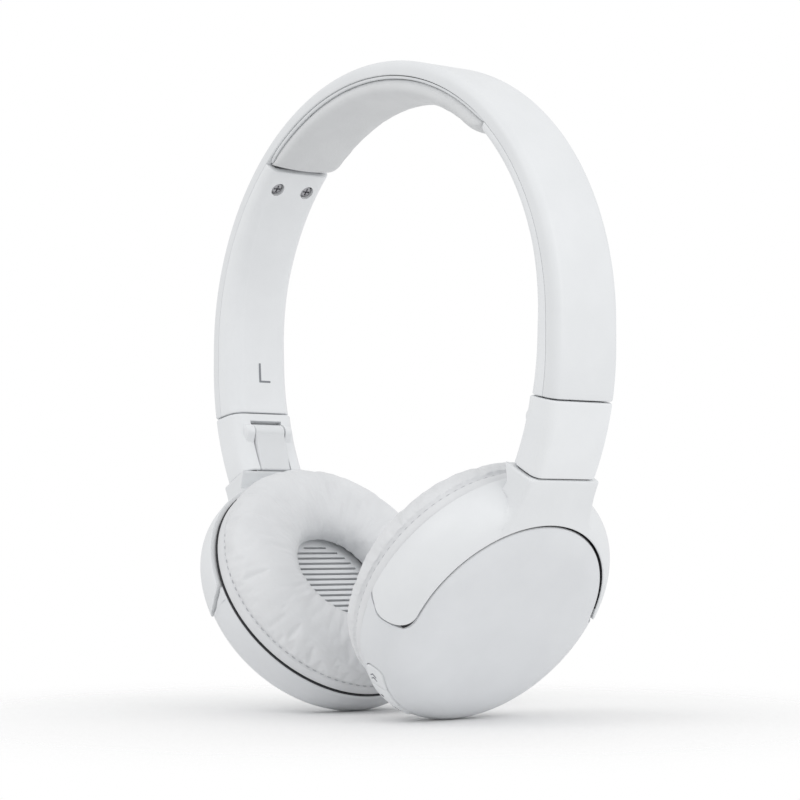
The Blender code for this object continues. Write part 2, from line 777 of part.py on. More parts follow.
def yoke():
    """Fork plate, stem and swivel post in one piece."""
    plate = fork_solid(0.0, plate_profile)
    inside = 0.6 * PLATE_THICKNESS
    deep = SEAM - PAD_DEPTH
    core = [(CUP_RIM_RADIUS - inside, deep)] + dome_profile(inside, CUP_RINGS)
    stem = cut(stem_block(), turned_solid(core, CUP_SEGMENTS))
    foot = -PLATE_THICKNESS / 2
    neck_low, neck_high = LOCK_PIN_RISE - 2 * LOCK_PIN_RADIUS, LOCK_PIN_RISE + 2 * LOCK_PIN_RADIUS
    profile = [(POST_RADIUS, foot), (POST_RADIUS, neck_low), (POST_NECK_RADIUS, neck_low)]
    profile += [(POST_NECK_RADIUS, neck_high), (POST_RADIUS, neck_high), (POST_RADIUS, POST_LENGTH - GAP)]
    post = moved(along_z(turned_solid(profile, ROD_SEGMENTS)), at(0.0, 0.0, STEM_LENGTH))
    reach = pivot_pin_reach()
    holes = [along_y(rod(PIVOT_PIN_RADIUS + GAP, side * reach[0], side * (reach[1] + GAP)))
             for side in (1.0, -1.0)]
    fork = cut(combine(stem, plate, "UNION"), *holes)
    return combine(into_swivel(fork), post, "UNION")


def pivot_pin_reach():
    """Inner and outer end of a pivot pin, measured from the cup's axis."""
    outer = side_radius(0.0)
    return outer - SHELL_THICKNESS - 2 * GAP, outer - 0.4 * PLATE_THICKNESS


def pivot_pin(side):
    reach = pivot_pin_reach()
    return into_swivel(along_y(rod(PIVOT_PIN_RADIUS, side * reach[0], side * reach[1])))


def cup_screw_places():
    """Places of the cup screws round the cup's axis."""
    angles = spread(SCREW_TURN, SCREW_TURN + 2 * pi, SCREWS)[:-1]
    return [at(0.0, SCREW_CIRCLE * sin(angle), SCREW_CIRCLE * cos(angle)) for angle in angles]


def button_point(angle, height, radius):
    """Point on the cup's side, at an angle from the far side of the stem towards the back."""
    return height, -radius * sin(angle), -radius * cos(angle)


def button_outline(first, last, grow):
    """Outline in (angle, height) of buttons first to last of the row of three, round at the row's ends."""
    middle = SEAM + BUTTON_ABOVE_SEAM
    half = BUTTON_HEIGHT / 2 + grow
    low = BUTTON_MIDDLE + BUTTON_SPAN * (first - 1.5) - (grow - GAP / 2) / CUP_RIM_RADIUS
    high = BUTTON_MIDDLE + BUTTON_SPAN * (last - 0.5) + (grow - GAP / 2) / CUP_RIM_RADIUS
    bend = half / CUP_RIM_RADIUS
    outline = []
    if first == 0:
        ends = arc((0.0, 0.0), 1.0, 1.5 * pi, 0.5 * pi, 6)
        outline += [(low + bend + bend * x, middle + half * y) for x, y in ends]
    else:
        outline += [(low, middle - half), (low, middle + half)]
    if last == 2:
        ends = arc((0.0, 0.0), 1.0, 0.5 * pi, -0.5 * pi, 6)
        outline += [(high - bend + bend * x, middle + half * y) for x, y in ends]
    else:
        outline += [(high, middle + half), (high, middle - half)]
    return outline


def button(number):
    """One of the three push buttons in the cup's side."""
    outline = button_outline(number, number, 0.0)
    rings = [[button_point(angle, height, BUTTON_ROOT) for angle, height in outline]]
    rings.append([button_point(angle, height, side_radius(height) + BUTTON_PROUD)
                  for angle, height in outline])
    return ring_solid(rings)


def button_hole():
    outline = button_outline(0, 2, GAP)
    rings = []
    for radius in (BUTTON_ROOT - SHELL_THICKNESS, CUP_RIM_RADIUS + SHELL_THICKNESS):
        rings.append([button_point(angle, height, radius) for angle, height in outline])
    return ring_solid(rings)


def socket_block(grow, inner, outer):
    """Block along the radius through the charging socket."""
    middle = BAFFLE_BACK + 2 * GAP + BOARD_THICKNESS + SOCKET_HEIGHT / 2
    high, wide = SOCKET_HEIGHT / 2 + grow, SOCKET_WIDTH / 2 + grow
    block = box((middle - high, -wide, -outer), (middle + high, wide, -inner))
    return moved(block, Matrix.Rotation(SOCKET_ANGLE, 4, "X"))


def socket_outer():
    return side_radius(SEAM + CUP_RIM_HEIGHT) - SOCKET_SINK


def charging_socket():
    """Socket shell with an open mouth and a tongue left standing inside."""
    inner = socket_outer() - SOCKET_DEPTH
    shell = socket_block(0.0, inner, socket_outer())
    mouth = socket_block(-2 * GAP, inner + SOCKET_DEPTH / 2, socket_outer() + SOCKET_SINK)
    return cut(shell, mouth)


def cup_shell(right):
    """Bowl with a recess for the fork, screw bosses, pivot holes and, on the right, control openings."""
    mouth = CUP_SEAM_RADIUS - MOUTH_WALL
    seat = BAFFLE_BACK + GAP
    inner = CUP_RIM_RADIUS - SHELL_THICKNESS
    profile = dome_profile(SHELL_THICKNESS, INNER_RINGS)[::-1] + [(inner, seat), (mouth, seat), (mouth, SEAM)]
    profile += [(CUP_SEAM_RADIUS, SEAM)] + dome_profile(0.0, CUP_RINGS)
    shell = turned_solid(profile, CUP_SEGMENTS)
    bosses = [moved(rod(BOSS_RADIUS, seat, FACE_ABOVE_PIVOT - SHELL_THICKNESS / 2), place)
              for place in cup_screw_places()]
    shell = combine(shell, joined(bosses), "UNION")
    shell = cut(shell, fork_solid(RECESS_GAP, recess_profile))
    reach = pivot_pin_reach()
    holes = [along_y(rod(PIVOT_PIN_RADIUS + GAP, side * (reach[0] - SHELL_THICKNESS), side * CUP_RIM_RADIUS))
             for side in (1.0, -1.0)]
    holes += [moved(screw_hole(SEAM + GAP, 1.0, SCREW_LENGTH + GAP), place) for place in cup_screw_places()]
    if right:
        inside, outside = socket_outer() - SOCKET_DEPTH, CUP_RIM_RADIUS + SHELL_THICKNESS
        holes += [button_hole(), socket_block(GAP, inside, outside)]
    return cut(shell, *holes)


def baffle():
    """Speaker plate in the mouth of the cup."""
    hole, edge = DRIVER_RADIUS - 2 * BASKET_LIP, CUP_SEAM_RADIUS - MOUTH_WALL - GAP
    plate = turned_ring([(hole, SEAM), (edge, SEAM), (edge, BAFFLE_BACK), (hole, BAFFLE_BACK)], CUP_SEGMENTS)
    holes = [moved(screw_hole(SEAM + GAP, 1.0, SCREW_LENGTH), place) for place in cup_screw_places()]
    return cut(plate, *holes)


def driver():
    """Basket and magnet of the loudspeaker, open towards the ear."""
    lip = DRIVER_RADIUS - BASKET_LIP
    rim = DRIVER_FRONT + BASKET_LIP
    step = rim + BASKET_LIP
    back = DRIVER_FRONT + DRIVER_DEPTH
    profile = [(lip, rim), (lip, DRIVER_FRONT), (DRIVER_RADIUS, DRIVER_FRONT), (DRIVER_RADIUS, rim)]
    profile += [(MAGNET_RADIUS, step), (MAGNET_RADIUS, back)]
    return turned_solid(profile, SMALL_SEGMENTS)


def diaphragm():
    """Thin cone in the mouth of the basket."""
    edge = DRIVER_RADIUS - BASKET_LIP - GAP
    front = DRIVER_FRONT + GAP
    profile = [(edge / 2, front + GAP), (edge, front), (edge, front + GAP), (edge / 2, front + 2 * GAP)]
    return turned_solid(profile, SMALL_SEGMENTS)


def grille():
    """Guard with level slots in front of the driver."""
    low, high = SEAM - GAP - GRILLE_THICKNESS, SEAM - GAP
    plate = turned_solid([(GRILLE_RADIUS, low), (GRILLE_RADIUS, high)], SMALL_SEGMENTS)
    reach = GRILLE_RADIUS - SLOT_MARGIN
    most = int(reach / SLOT_PITCH)
    slots = []
    for number in range(-most, most + 1):
        level = number * SLOT_PITCH
        half = sqrt(reach ** 2 - level ** 2) - SLOT_WIDTH / 2
        if half > SLOT_WIDTH:
            corner = (low - GAP, -half, level - SLOT_WIDTH / 2)
            slots.append(box(corner, (high + GAP, half, level + SLOT_WIDTH / 2)))
    return cut(plate, *slots)


def pad_ring():
    low, high = SEAM - GAP - PAD_RING_THICKNESS, SEAM - GAP
    profile = [(PAD_RING_HOLE, low), (PAD_RING_RADIUS, low), (PAD_RING_RADIUS, high), (PAD_RING_HOLE, high)]
    return turned_ring(profile, CUP_SEGMENTS)


def ear_pad():
    """Ring pad: a plain skirt, a drawn-in seam, then a full round crown about the ear hole."""
    lip = SEAM - SEAM_GAP
    base = SEAM - PAD_RING_THICKNESS - 2 * GAP
    crown = SEAM - PAD_DEPTH
    stitch = lip - PAD_SKIRT
    ring_edge = PAD_RING_RADIUS + GAP
    middle = (PAD_RADIUS + PAD_HOLE_RADIUS) / 2
    half = (PAD_RADIUS - PAD_HOLE_RADIUS) / 2
    waist = (stitch + crown) / 2
    drop = waist - crown
    power = 2 / PAD_ROUNDNESS
    profile = [(ring_edge, base), (ring_edge, lip), (PAD_RADIUS, lip), (PAD_RADIUS, stitch)]
    for angle in spread(0.35 * pi, -1.2 * pi, PAD_RINGS):
        sideways, endways = cos(angle), sin(angle)
        radius = middle + half * abs(sideways) ** power * (1 if sideways > 0 else -1)
        height = waist + drop * abs(endways) ** power * (1 if endways > 0 else -1)
        profile.append((radius, height))
    profile.append((PAD_HOLE_RADIUS + PAD_SKIRT / 2, base))
    return turned_ring(profile, CUP_SEGMENTS)


def cup_screw(place):
    return moved(screw_solid(SEAM + GAP, 1.0, SCREW_LENGTH), place)


def inner_block(thickness):
    """Flat part that lies on the back of the baffle, on the far side of the driver from the stem."""
    low = BAFFLE_BACK + GAP
    outer = BOARD_INNER + BOARD_LENGTH
    return box((low, -BOARD_WIDTH / 2, -outer), (low + thickness, BOARD_WIDTH / 2, -BOARD_INNER))


def side_frames():
    """Places of the right side's joints. X of the fold, swivel and cup frames points out of the face."""
    slide = Matrix.Translation((blade_x(), 0.0, blade_seam_z()))
    frames = {"root": Matrix.Identity(4), "slide": slide}
    places = (("fold", FOLD_PLACE, STEM_TILT), ("swivel", SWIVEL_PLACE, STEM_TILT), ("cup", PIVOT, CUP_TILT))
    for name, place, tilt in places:
        frames[name] = Matrix.Translation(place) @ Matrix.Rotation(tilt, 4, "Y")
    return frames


FRAMES = side_frames()
FLIP = Matrix.Diagonal((-1.0, 1.0, 1.0, 1.0))


def make_empties(side):
    """Chain of empties that carries one side's moving parts, each on its joint's axis."""
    empties = {"root": None}
    parent = None
    for name in ("slide", "fold", "swivel", "cup"):
        place = FRAMES[name] if side == "right" else FLIP @ FRAMES[name] @ FLIP
        empty = bpy.data.objects.new(f"{name}_{side}", None)
        empty.empty_display_size = BAND_WIDTH
        bpy.context.scene.collection.objects.link(empty)
        empty.parent = empties.get(parent)
        above = Matrix.Identity(4)
        if parent:
            above = FRAMES[parent] if side == "right" else FLIP @ FRAMES[parent] @ FLIP
        empty.matrix_basis = above.inverted() @ place
        empties[name] = empty
        parent = name
    return empties


def add_part(name, solid, material, parent=None):
    """Object for one sub-part, from a solid in its parent's frame."""
    mesh = solid_mesh(name, solid)
    mesh.shade_smooth()
    mesh.set_sharp_from_angle(angle=SMOOTH_ANGLE)
    mesh.materials.append(material)
    item = bpy.data.objects.new(name, mesh)
    item.parent = parent
    bpy.context.scene.collection.objects.link(item)
    return item


def make_materials():
    """Finish of each sub-part: pale matt plastic, soft leather-like covers and bright metal."""
    white, pale, grey = (0.80, 0.81, 0.82), (0.74, 0.75, 0.77), (0.42, 0.43, 0.45)
    steel, dark = (0.62, 0.62, 0.64), (0.03, 0.03, 0.035)
    looks = {
        "strip": (white, 0.45, 0.0), "cover": (white, 0.5, 0.0), "carrier": (pale, 0.6, 0.0),
        "cushion": (white, 0.65, 0.0), "arm_screw": (steel, 0.35, 1.0), "guide": (pale, 0.6, 0.0),
        "blade": (steel, 0.35, 1.0), "housing": (white, 0.45, 0.0), "fold_pin": (steel, 0.3, 1.0),
        "tongue": (pale, 0.5, 0.0), "lock_pin": (steel, 0.3, 1.0), "yoke": (white, 0.45, 0.0),
        "pivot_pin": (steel, 0.3, 1.0), "shell": (white, 0.45, 0.0), "baffle": (pale, 0.6, 0.0),
        "driver": (dark, 0.5, 0.0), "diaphragm": (grey, 0.4, 0.0), "grille": (grey, 0.6, 0.0),
        "pad_ring": (pale, 0.6, 0.0), "pad": (white, 0.6, 0.0), "cup_screw": (steel, 0.35, 1.0),
        "button": (white, 0.5, 0.0), "board": ((0.05, 0.25, 0.12), 0.5, 0.0), "socket": (steel, 0.3, 1.0),
        "battery": ((0.55, 0.57, 0.60), 0.4, 0.0),
    }
    return {name: make_material(name, *look) for name, look in looks.items()}


def side_parts():
    """Every sub-part of the right side that the left side has too: name, solid, material and frame.

    Solids of the root and slide frames are given in world places.
    """
    parts = [
        ("arm_cover", arm_cover(), "cover", "root"),
        ("slide_guide", slide_guide(), "guide", "root"),
        ("slider_blade", blade_solid(0.0), "blade", "slide"),
        ("hinge_housing", hinge_housing(), "housing", "slide"),
        ("fold_pin", fold_pin(), "fold_pin", "slide"),
        ("fold_arm", fold_arm(), "tongue", "fold"),
        ("swivel_lock_pin", lock_pin(), "lock_pin", "fold"),
        ("yoke", yoke(), "yoke", "swivel"),
        ("pivot_pin_front", pivot_pin(1.0), "pivot_pin", "swivel"),
        ("pivot_pin_back", pivot_pin(-1.0), "pivot_pin", "swivel"),
        ("baffle", baffle(), "baffle", "cup"),
        ("driver", driver(), "driver", "cup"),
        ("diaphragm", diaphragm(), "diaphragm", "cup"),
        ("grille", grille(), "grille", "cup"),
        ("pad_ring", pad_ring(), "pad_ring", "cup"),
        ("ear_pad", ear_pad(), "pad", "cup"),
    ]
    for label, frame in arm_screw_frames().items():
        screw = moved(screw_solid(arm_screw_depth(), -1.0, SCREW_LENGTH), frame)
        parts.append((f"arm_screw_{label}", screw, "arm_screw", "root"))
    for number, place in enumerate(cup_screw_places(), 1):
        parts.append((f"cup_screw_{number}", cup_screw(place), "cup_screw", "cup"))
    return parts


def own_parts(side):
    """Sub-parts of one cup that the other cup lacks, modelled as on the right side."""
    if side == "left":
        return [
            ("cup_shell_left", cup_shell(False), "shell", "cup"),
            ("battery", inner_block(BATTERY_THICKNESS), "battery", "cup"),
        ]
    parts = [
        ("cup_shell_right", cup_shell(True), "shell", "cup"),
        ("circuit_board", inner_block(BOARD_THICKNESS), "board", "cup"),
        ("charging_socket", charging_socket(), "socket", "cup"),
    ]
    for number, label in enumerate(("forward", "play", "back")):
        parts.append((f"button_{label}", button(number), "button", "cup"))
    return parts


def main():
    clear_scene()
    materials = make_materials()
    carrier_reach = BAND_RADIUS * CARRIER_ANGLE
    add_part("headband_outer_strip", outer_strip(), materials["strip"])
    carrier = band_solid(-carrier_reach, carrier_reach, carrier_section)
    add_part("cushion_carrier", carrier, materials["carrier"])
    add_part("headband_cushion", cushion(), materials["cushion"])
    shared = side_parts()
    for side in ("right", "left"):
        empties = make_empties(side)
        parts = [(f"{name}_{side}", *rest) for name, *rest in shared] + own_parts(side)
        for name, solid, finish, frame in parts:
            if frame == "slide":
                solid = moved(solid, FRAMES["slide"].inverted())
            if side == "left":
                solid = mirrored(solid)
            add_part(name, solid, materials[finish], empties[frame])


main()
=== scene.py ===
"""Looks of the folding headphones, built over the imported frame.

Metres, in the frame's own axes: +X is the wearer's right and +Y the front. Each side piece is
shaped for the right side and mirrored for the left. Cup pieces are shaped about the cup's pivot,
with X out of the cup's face and Z up the stem.
"""

import json
from math import atan2, cos, pi, radians, sin, sqrt, tan

import bmesh
import bpy
from mathutils import Matrix, Vector, noise


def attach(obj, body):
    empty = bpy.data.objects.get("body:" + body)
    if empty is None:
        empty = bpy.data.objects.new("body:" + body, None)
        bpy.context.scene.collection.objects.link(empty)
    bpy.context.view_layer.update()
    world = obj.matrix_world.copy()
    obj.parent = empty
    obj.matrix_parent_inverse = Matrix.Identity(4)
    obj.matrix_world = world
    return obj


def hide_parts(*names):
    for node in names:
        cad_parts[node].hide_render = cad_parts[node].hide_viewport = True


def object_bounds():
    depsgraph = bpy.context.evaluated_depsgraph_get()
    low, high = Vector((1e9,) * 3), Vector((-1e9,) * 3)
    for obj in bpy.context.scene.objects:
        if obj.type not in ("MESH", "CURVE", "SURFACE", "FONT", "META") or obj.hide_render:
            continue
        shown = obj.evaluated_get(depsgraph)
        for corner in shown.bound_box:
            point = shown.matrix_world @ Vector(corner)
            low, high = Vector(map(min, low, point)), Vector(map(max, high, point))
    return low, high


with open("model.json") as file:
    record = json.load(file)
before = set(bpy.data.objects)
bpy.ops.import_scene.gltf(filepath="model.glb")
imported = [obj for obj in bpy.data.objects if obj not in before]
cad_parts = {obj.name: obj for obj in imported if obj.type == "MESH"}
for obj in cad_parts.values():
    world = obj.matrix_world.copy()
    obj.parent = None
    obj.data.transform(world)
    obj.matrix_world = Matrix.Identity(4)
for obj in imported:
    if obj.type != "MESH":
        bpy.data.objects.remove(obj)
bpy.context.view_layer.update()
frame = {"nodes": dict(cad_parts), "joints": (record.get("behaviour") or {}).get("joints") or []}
joints = {joint["name"]: joint for joint in frame["joints"]}
nodes = frame["nodes"]

# Places of the right side's joints, from the frame
PIVOT = Vector(joints["tilt_right"]["pos_m"])
FOLD_PLACE = Vector(joints["fold_right"]["pos_m"])
UPWARD = -Vector(joints["swivel_right"]["axis"])
STEM_TILT = atan2(UPWARD.x, UPWARD.z)
OUTWARD = Vector((UPWARD.z, 0.0, -UPWARD.x))
SIDES = ("right", "left")

# Textures: cells per metre, relief, and spans of tone and roughness
TONE_SPAN = (0.35, 0.65)
PLASTIC_CLOUDS = 90.0
PLASTIC_GRAIN = 5200.0
PLASTIC_RELIEF = 0.000012
PLASTIC_SHIFT = 0.02
PLASTIC_SPAN = (-0.05, 0.06)
LEATHER_CLOUDS = 120.0
LEATHER_PEBBLES = 1500.0
LEATHER_GRAIN = 4200.0
LEATHER_RELIEF = 0.00003
LEATHER_SHEEN = 0.08
LEATHER_SHIFT = 0.03
LEATHER_SPAN = (-0.07, 0.08)
METAL_MARKS = 900.0
METAL_RELIEF = 0.000006
METAL_SHADE = 0.86
METAL_SPAN = (-0.08, 0.12)
CLOTH_ROUGHNESS = 0.85
CLOTH_RELIEF = 0.00008

# Degrees past which an edge is drawn sharp
CREASE = 32.0
CUP_CREASE = 26.0
FORK_CREASE = 30.0
CUSHION_CREASE = 60.0
PAD_CREASE = 70.0

# Bevel of the tongue
BEVEL_SEGMENTS = 3
BEVEL_ANGLE = radians(40.0)

# Headband
SEAM_GAP = 0.0004
HAIRLINE = 0.0001
BAND_RADIUS = 0.0713
BAND_WIDTH = 0.021
BAND_CORNER = 0.0025
EDGE = 0.0004
STRIP_DEPTH = 0.0040
STRIP_SKIN = 0.0018
STRIP_WALL = 0.0016
STRIP_LIP = 0.00035
STRIP_STEPS = 170
LIP_FADE = 0.003
LEAST_LIP = 0.00003
ARM_STRAIGHT = 0.0056
ARM_DEPTH = 0.0103
COVER_TOP_ANGLE = radians(42.1)
COVER_TOP_DEPTH = 0.0071
COVER_SKIN = 0.0016
COVER_CORNER = 0.0045
COVER_SLOPE = 0.7
COVER_STEPS = 70

# Head cushion: creases and swells are noise cells per metre
CUSHION_ANGLE = radians(41.2)
CUSHION_DEPTH = 0.0062
CUSHION_END = 0.0060
CUSHION_LEAST = 0.25
CUSHION_NARROWING = 0.08
CUSHION_MARGIN = 0.0002
CUSHION_WAIST = 0.32
CUSHION_FOOT = 0.90
CUSHION_FULLNESS = 0.75
CUSHION_STEPS = 150
CREASES = 260.0
CREASE_SEEDS = (7.0, 31.0)
CREASE_PULL = 0.012
CREASE_DEPTH = 0.0002
SWELLS = (45.0, 60.0)
SWELL_SEED = 3.0
SWELL_DEPTH = 0.00015
RIM_THICKNESS = 0.0009
RIM_MARGIN = 0.0005
RIM_EDGE = 0.00025

# Arm screws: rings are places along X with their radii
ARM_SCREW_ANGLE = radians(47.3)
ARM_SCREW_SPACING = 0.0100
SCREW_SEAT_RADIUS = 0.0020
SCREW_SINK = 0.0005
SCREW_HEIGHT = 0.00095
SCREW_RINGS = ((-0.0012, 0.0008), (0.0, 0.0016), (0.0006, 0.00165), (0.00085, 0.00145),
               (SCREW_HEIGHT, 0.0011))
SCREW_CROSS = (0.00024, 0.0011)
SCREW_CROSS_SPAN = (0.00035, 0.0014)

# Side marks: letters are drawn one unit high
MARK_HEIGHT = 0.0060
MARK_STROKE = 0.00065
MARK_ABOVE_SEAM = 0.0101
MARK_FORWARD = 0.0010
MARK_LIFTS = (-0.00005, 0.00004)
LETTER_MIDDLE = 0.28
LETTER_FOOT = 0.64
BOWL_START = 0.30
BOWL_RADIUS = 0.26
LEG_TOP = 0.26
LEG_FOOT = 0.58
LEG_STROKE = 1.2

# Hinge housing and tongue
HOUSING_LENGTH = 0.0200
HOUSING_CORNER = 0.0035
HOUSING_STEPS = 40
KNUCKLE_RADIUS = 0.0021
EAR_WIDTH = 0.0160
EAR_DEPTH = 0.0012
EAR_HEIGHT = 0.0052
EAR_ROOT = 0.002
EAR_ROUNDING = 0.0009
EAR_EASE = 0.0003
TONGUE_WIDTH = 0.0100
TONGUE_DEPTH = 0.0071
TONGUE_SHOULDER = 0.0044
HINGE_GAP = 0.0003
# Setback of the dark ring of painted shade in the seam under the housing
HOUSING_SHADE_SETBACK = 0.0006

# Yoke
CUP_LEAN = radians(7)
STEM_LENGTH = 0.0404
STEM_INSET = 0.0012
STEM_HEEL = 0.0029
STEM_HEEL_RISE = 0.0009
STEM_TOP_WIDTH = 0.0234
STEM_BASE_WIDTH = 0.0320
STEM_SPREAD = 2.2
STEM_EDGE = 0.0010
STEM_EDGE_TURN = radians(60)
STEM_TOP_RUNS = [0.0, 0.01, 0.025, 0.045]
STEM_SOFT_RUN = STEM_TOP_RUNS[-1]
STEM_TRIM = 0.00015
STEM_FLARE = 0.0034
FLARE_START = 0.0003
FLARE_EASE = 0.006
FLANK_SINK = 0.00005
FLANK_STEPS = 9
PLATE_THICKNESS = 0.0023
PLATE_EDGE = 0.0005
PLATE_PROUD = 0.0006
PLATE_ROUNDING = 0.0003
ARC_RADIUS = 0.0298
ARC_DROP = 0.0010
TIP_ANGLE = radians(93.5)
TIP_ROUNDING = radians(8.5)
TIP_FULLNESS = 2.6
TIP_LEAST = 0.02
FORK_STEPS = 150
RECESS_GAP = 0.0007
RECESS_STEP = 0.00001
RIM_TURN = 0.01
LEDGE_TURN = 0.002

# Cup: plain runs are shares of a half turn up its side, with the steps in each
CUP_RIM_RADIUS = 0.0350
CUP_SEAM_RADIUS = 0.0347
CUP_FLAT_RADIUS = 0.0208
CUP_ROUNDNESS = 2.3
CUP_EDGE = 0.0002
FACE_RINGS = (0.75, 0.5, 0.25, 0.06)
PLAIN_RUNS = ((0.0, 0.16, 8), (0.17, 0.30, 11), (0.31, 0.5, 14))
# Thin dark sheets of painted shade in the fork's recess, along the fork's arc and in the seam between cup and
# pad
SHADE_SHEET = 0.00012
SHADE_SHEET_SETBACK = 0.0004
SHADE_SHEET_SHORT = radians(0.2)
SHADE_SHEET_STEPS = 110
SEAM_SHADE_BACK = (0.0029, 0.0012, 2 * CUP_EDGE)
SEAM = -0.0070
SHOULDER = -0.0040
FACE = 0.0065
MOUTH_WALL = 0.0042
SEAT_RISE = 0.0024

# Buttons and socket: rings are how far the outline is drawn in and how far it stands out
BUTTON_MIDDLE = radians(40)
BUTTON_SPAN = radians(13.4)
BUTTON_HEIGHT = 0.0050
BUTTON_LEVEL = SEAM + 0.0058
BUTTON_PROUD = 0.0004
BUTTON_ROOT = 0.0308
BUTTON_GAP = 0.0003
BUTTON_RINGS = (
    (0.0, -0.0003), (0.0, 0.0002), (0.0001, BUTTON_PROUD - 0.00005), (0.0003, BUTTON_PROUD),
    (0.34 * BUTTON_HEIGHT / 2, BUTTON_PROUD), (0.67 * BUTTON_HEIGHT / 2, BUTTON_PROUD))
SYMBOL_LIFTS = (-0.00006, 0.00005)
DOT_RADIUS = 0.00045
CHEVRON_SHIFTS = (-0.0006, 0.0008)
CHEVRON_TIP = 0.0006
CHEVRON_BACK = 0.0003
CHEVRON_HALF = 0.0009
CHEVRON_STROKE = 0.0004
HOLE_REACH = 0.004
SOCKET_ANGLE = radians(27)
SOCKET_LEVEL = -0.0019
SOCKET_SIZE = (0.0034, 0.0082)
SOCKET_ROUNDNESS = 0.9
SOCKET_DEPTH = 0.0082

# Ear pad: turns are shares of a half turn, puckers and dents are noise cells per radius
PAD_RADIUS = 0.0340
PAD_HOLE_RADIUS = 0.0130
PAD_FOOT = 0.0016
PAD_DEPTH = 0.0120
PAD_SKIRT = 0.0032
SKIRT_EASE = 0.0003
LIP_EASE = (0.00005, 0.00015)
PAD_SEAM_WIDTH = 0.0012
PAD_SEAM_DEPTH = 0.0008
PAD_ROUNDNESS = 2.3
PAD_TURN_START = 0.08
PAD_TURN = 1.18
PAD_RING_EDGE = 0.0323
PAD_BASE = SEAM - 0.0022
PAD_LIP = SEAM - SEAM_GAP
PAD_STITCH = PAD_LIP - PAD_SKIRT
PAD_COLUMNS = 380
PAD_ROWS = 34
PUCKERS = 22.0
PUCKER_DEPTH = 0.0001
DENTS = 14.0
DENT_DEPTH = 0.0002
DENT_ROW = 0.15
CLOTH_SCALE = 20.0
CLOTH_GROWTH = 0.045
CLOTH_PRESSURE = 0.3
CLOTH_BENDING = 0.02
CLOTH_FRAMES = 25
CLOTH_QUALITY = 6
CLOTH_EVENED = 0.8
STITCHES = 96
STITCH_RADIUS = 0.0002
STITCH_SHARE = 0.31
STITCH_SINK = 0.00055
STITCH_DIP = 0.00025
STITCH_FORM = ((-1.0, 0.3), (-0.8, 0.85), (0.0, 1.0), (0.8, 0.85), (1.0, 0.3))

# Camera, from the photograph's first view
VIEW_AZIMUTH = radians(50.5)
VIEW_ELEVATION = radians(-3.1)
VIEW_DISTANCE = 0.640
VIEW_LENS = 110.0
VIEW_SENSOR = 36.0
VIEW_NEAR = 0.01
AIM = Vector((0.0, 0.0, 0.0535))

# Stage: lights are a name, degrees round from the camera, degrees up, distance, size and power
FLOOR_HALF = 1.6
FLOOR_FADE = (0.03, 0.17)
WORLD_LIGHT = 0.84
LIGHTS = (("key", -50, 48, 1.1, 0.6, 2.0), ("fill", 55, 20, 1.2, 0.9, 3.4))

# Places along the band, measured over its outer face from the top
QUARTER = BAND_RADIUS * pi / 2
LOWER_START = QUARTER + ARM_STRAIGHT
BAND_END = LOWER_START + BAND_RADIUS * STEM_TILT
ARM_END = BAND_END - HOUSING_LENGTH
COVER_START = BAND_RADIUS * COVER_TOP_ANGLE
CUSHION_REACH = BAND_RADIUS * CUSHION_ANGLE
ARM_SCREW_RUN = BAND_RADIUS * ARM_SCREW_ANGLE

# Places and frames of the stem, the cup and the fold pin
CUP_TILT = STEM_TILT + CUP_LEAN
CUP_OUTWARD = Vector((cos(CUP_TILT), 0.0, -sin(CUP_TILT)))
CUP_UPWARD = Vector((sin(CUP_TILT), 0.0, cos(CUP_TILT)))
STEM_DEPTH = ARM_DEPTH * cos(CUP_LEAN)
STEM_SEAM = PIVOT - CUP_OUTWARD * STEM_INSET + CUP_UPWARD * STEM_LENGTH
LOWER_Z = STEM_SEAM.z + (BAND_RADIUS - ARM_DEPTH / 2) * sin(STEM_TILT)
BAND_Z = LOWER_Z + ARM_STRAIGHT
FOLD_ABOVE_SEAM = (FOLD_PLACE - STEM_SEAM).dot(UPWARD)
FOLD_TO_CENTRE = (STEM_SEAM - FOLD_PLACE).dot(OUTWARD)
TONGUE_INNER = FOLD_TO_CENTRE - ARM_DEPTH / 2
CUP_FRAME = Matrix.Translation(PIVOT) @ Matrix.Rotation(CUP_TILT, 4, "Y")
FOLD_FRAME = Matrix.Translation(FOLD_PLACE) @ Matrix.Rotation(STEM_TILT, 4, "Y")

# Recess of the fork, and the hidden inner face of the cup from its middle to its mouth
RECESS_DEPTH = PLATE_THICKNESS + RECESS_GAP
SEAM_TURN = (SEAM - SHOULDER) / CUP_RIM_RADIUS
CUP_MOUTH = CUP_SEAM_RADIUS - MOUTH_WALL
CUP_SEAT = SEAM + SEAT_RISE
SHELL_INNER = [(0.020, 0.0022), (0.0245, 0.0010), (0.0293, -0.0015), (0.0308, CUP_SEAT),
               (CUP_MOUTH, CUP_SEAT), (CUP_MOUTH, SEAM)]


# ---- Materials ----


def link(owner, *pairs):
    """Links from outputs to inputs, given in pairs."""
    for output, target in pairs:
        owner.node_tree.links.new(output, target)


def shader_input(material, name):
    return material.node_tree.nodes["Principled BSDF"].inputs[name]


def new_material(name, colour, roughness, metallic=0.0):
    """Principled material with its plain values set."""
    material = bpy.data.materials.new(name)
    material.use_nodes = True
    shader_input(material, "Base Color").default_value = (*colour, 1.0)
    shader_input(material, "Roughness").default_value = roughness
    shader_input(material, "Metallic").default_value = metallic
    material.diffuse_color = (*colour, 1.0)
    return material


def add_node(owner, kind, **values):
    """Node of a kind in a material or world, with some of its inputs set."""
    node = owner.node_tree.nodes.new(kind)
    for name, value in values.items():
        node.inputs[name].default_value = value
    return node


def texture_place(material, stretch=(1.0, 1.0, 1.0)):
    """Place on the object, stretched for textures that have a direction."""
    place = add_node(material, "ShaderNodeTexCoord")
    mapping = add_node(material, "ShaderNodeMapping", Scale=stretch)
    link(material, (place.outputs["Object"], mapping.inputs["Vector"]))
    return mapping.outputs["Vector"]


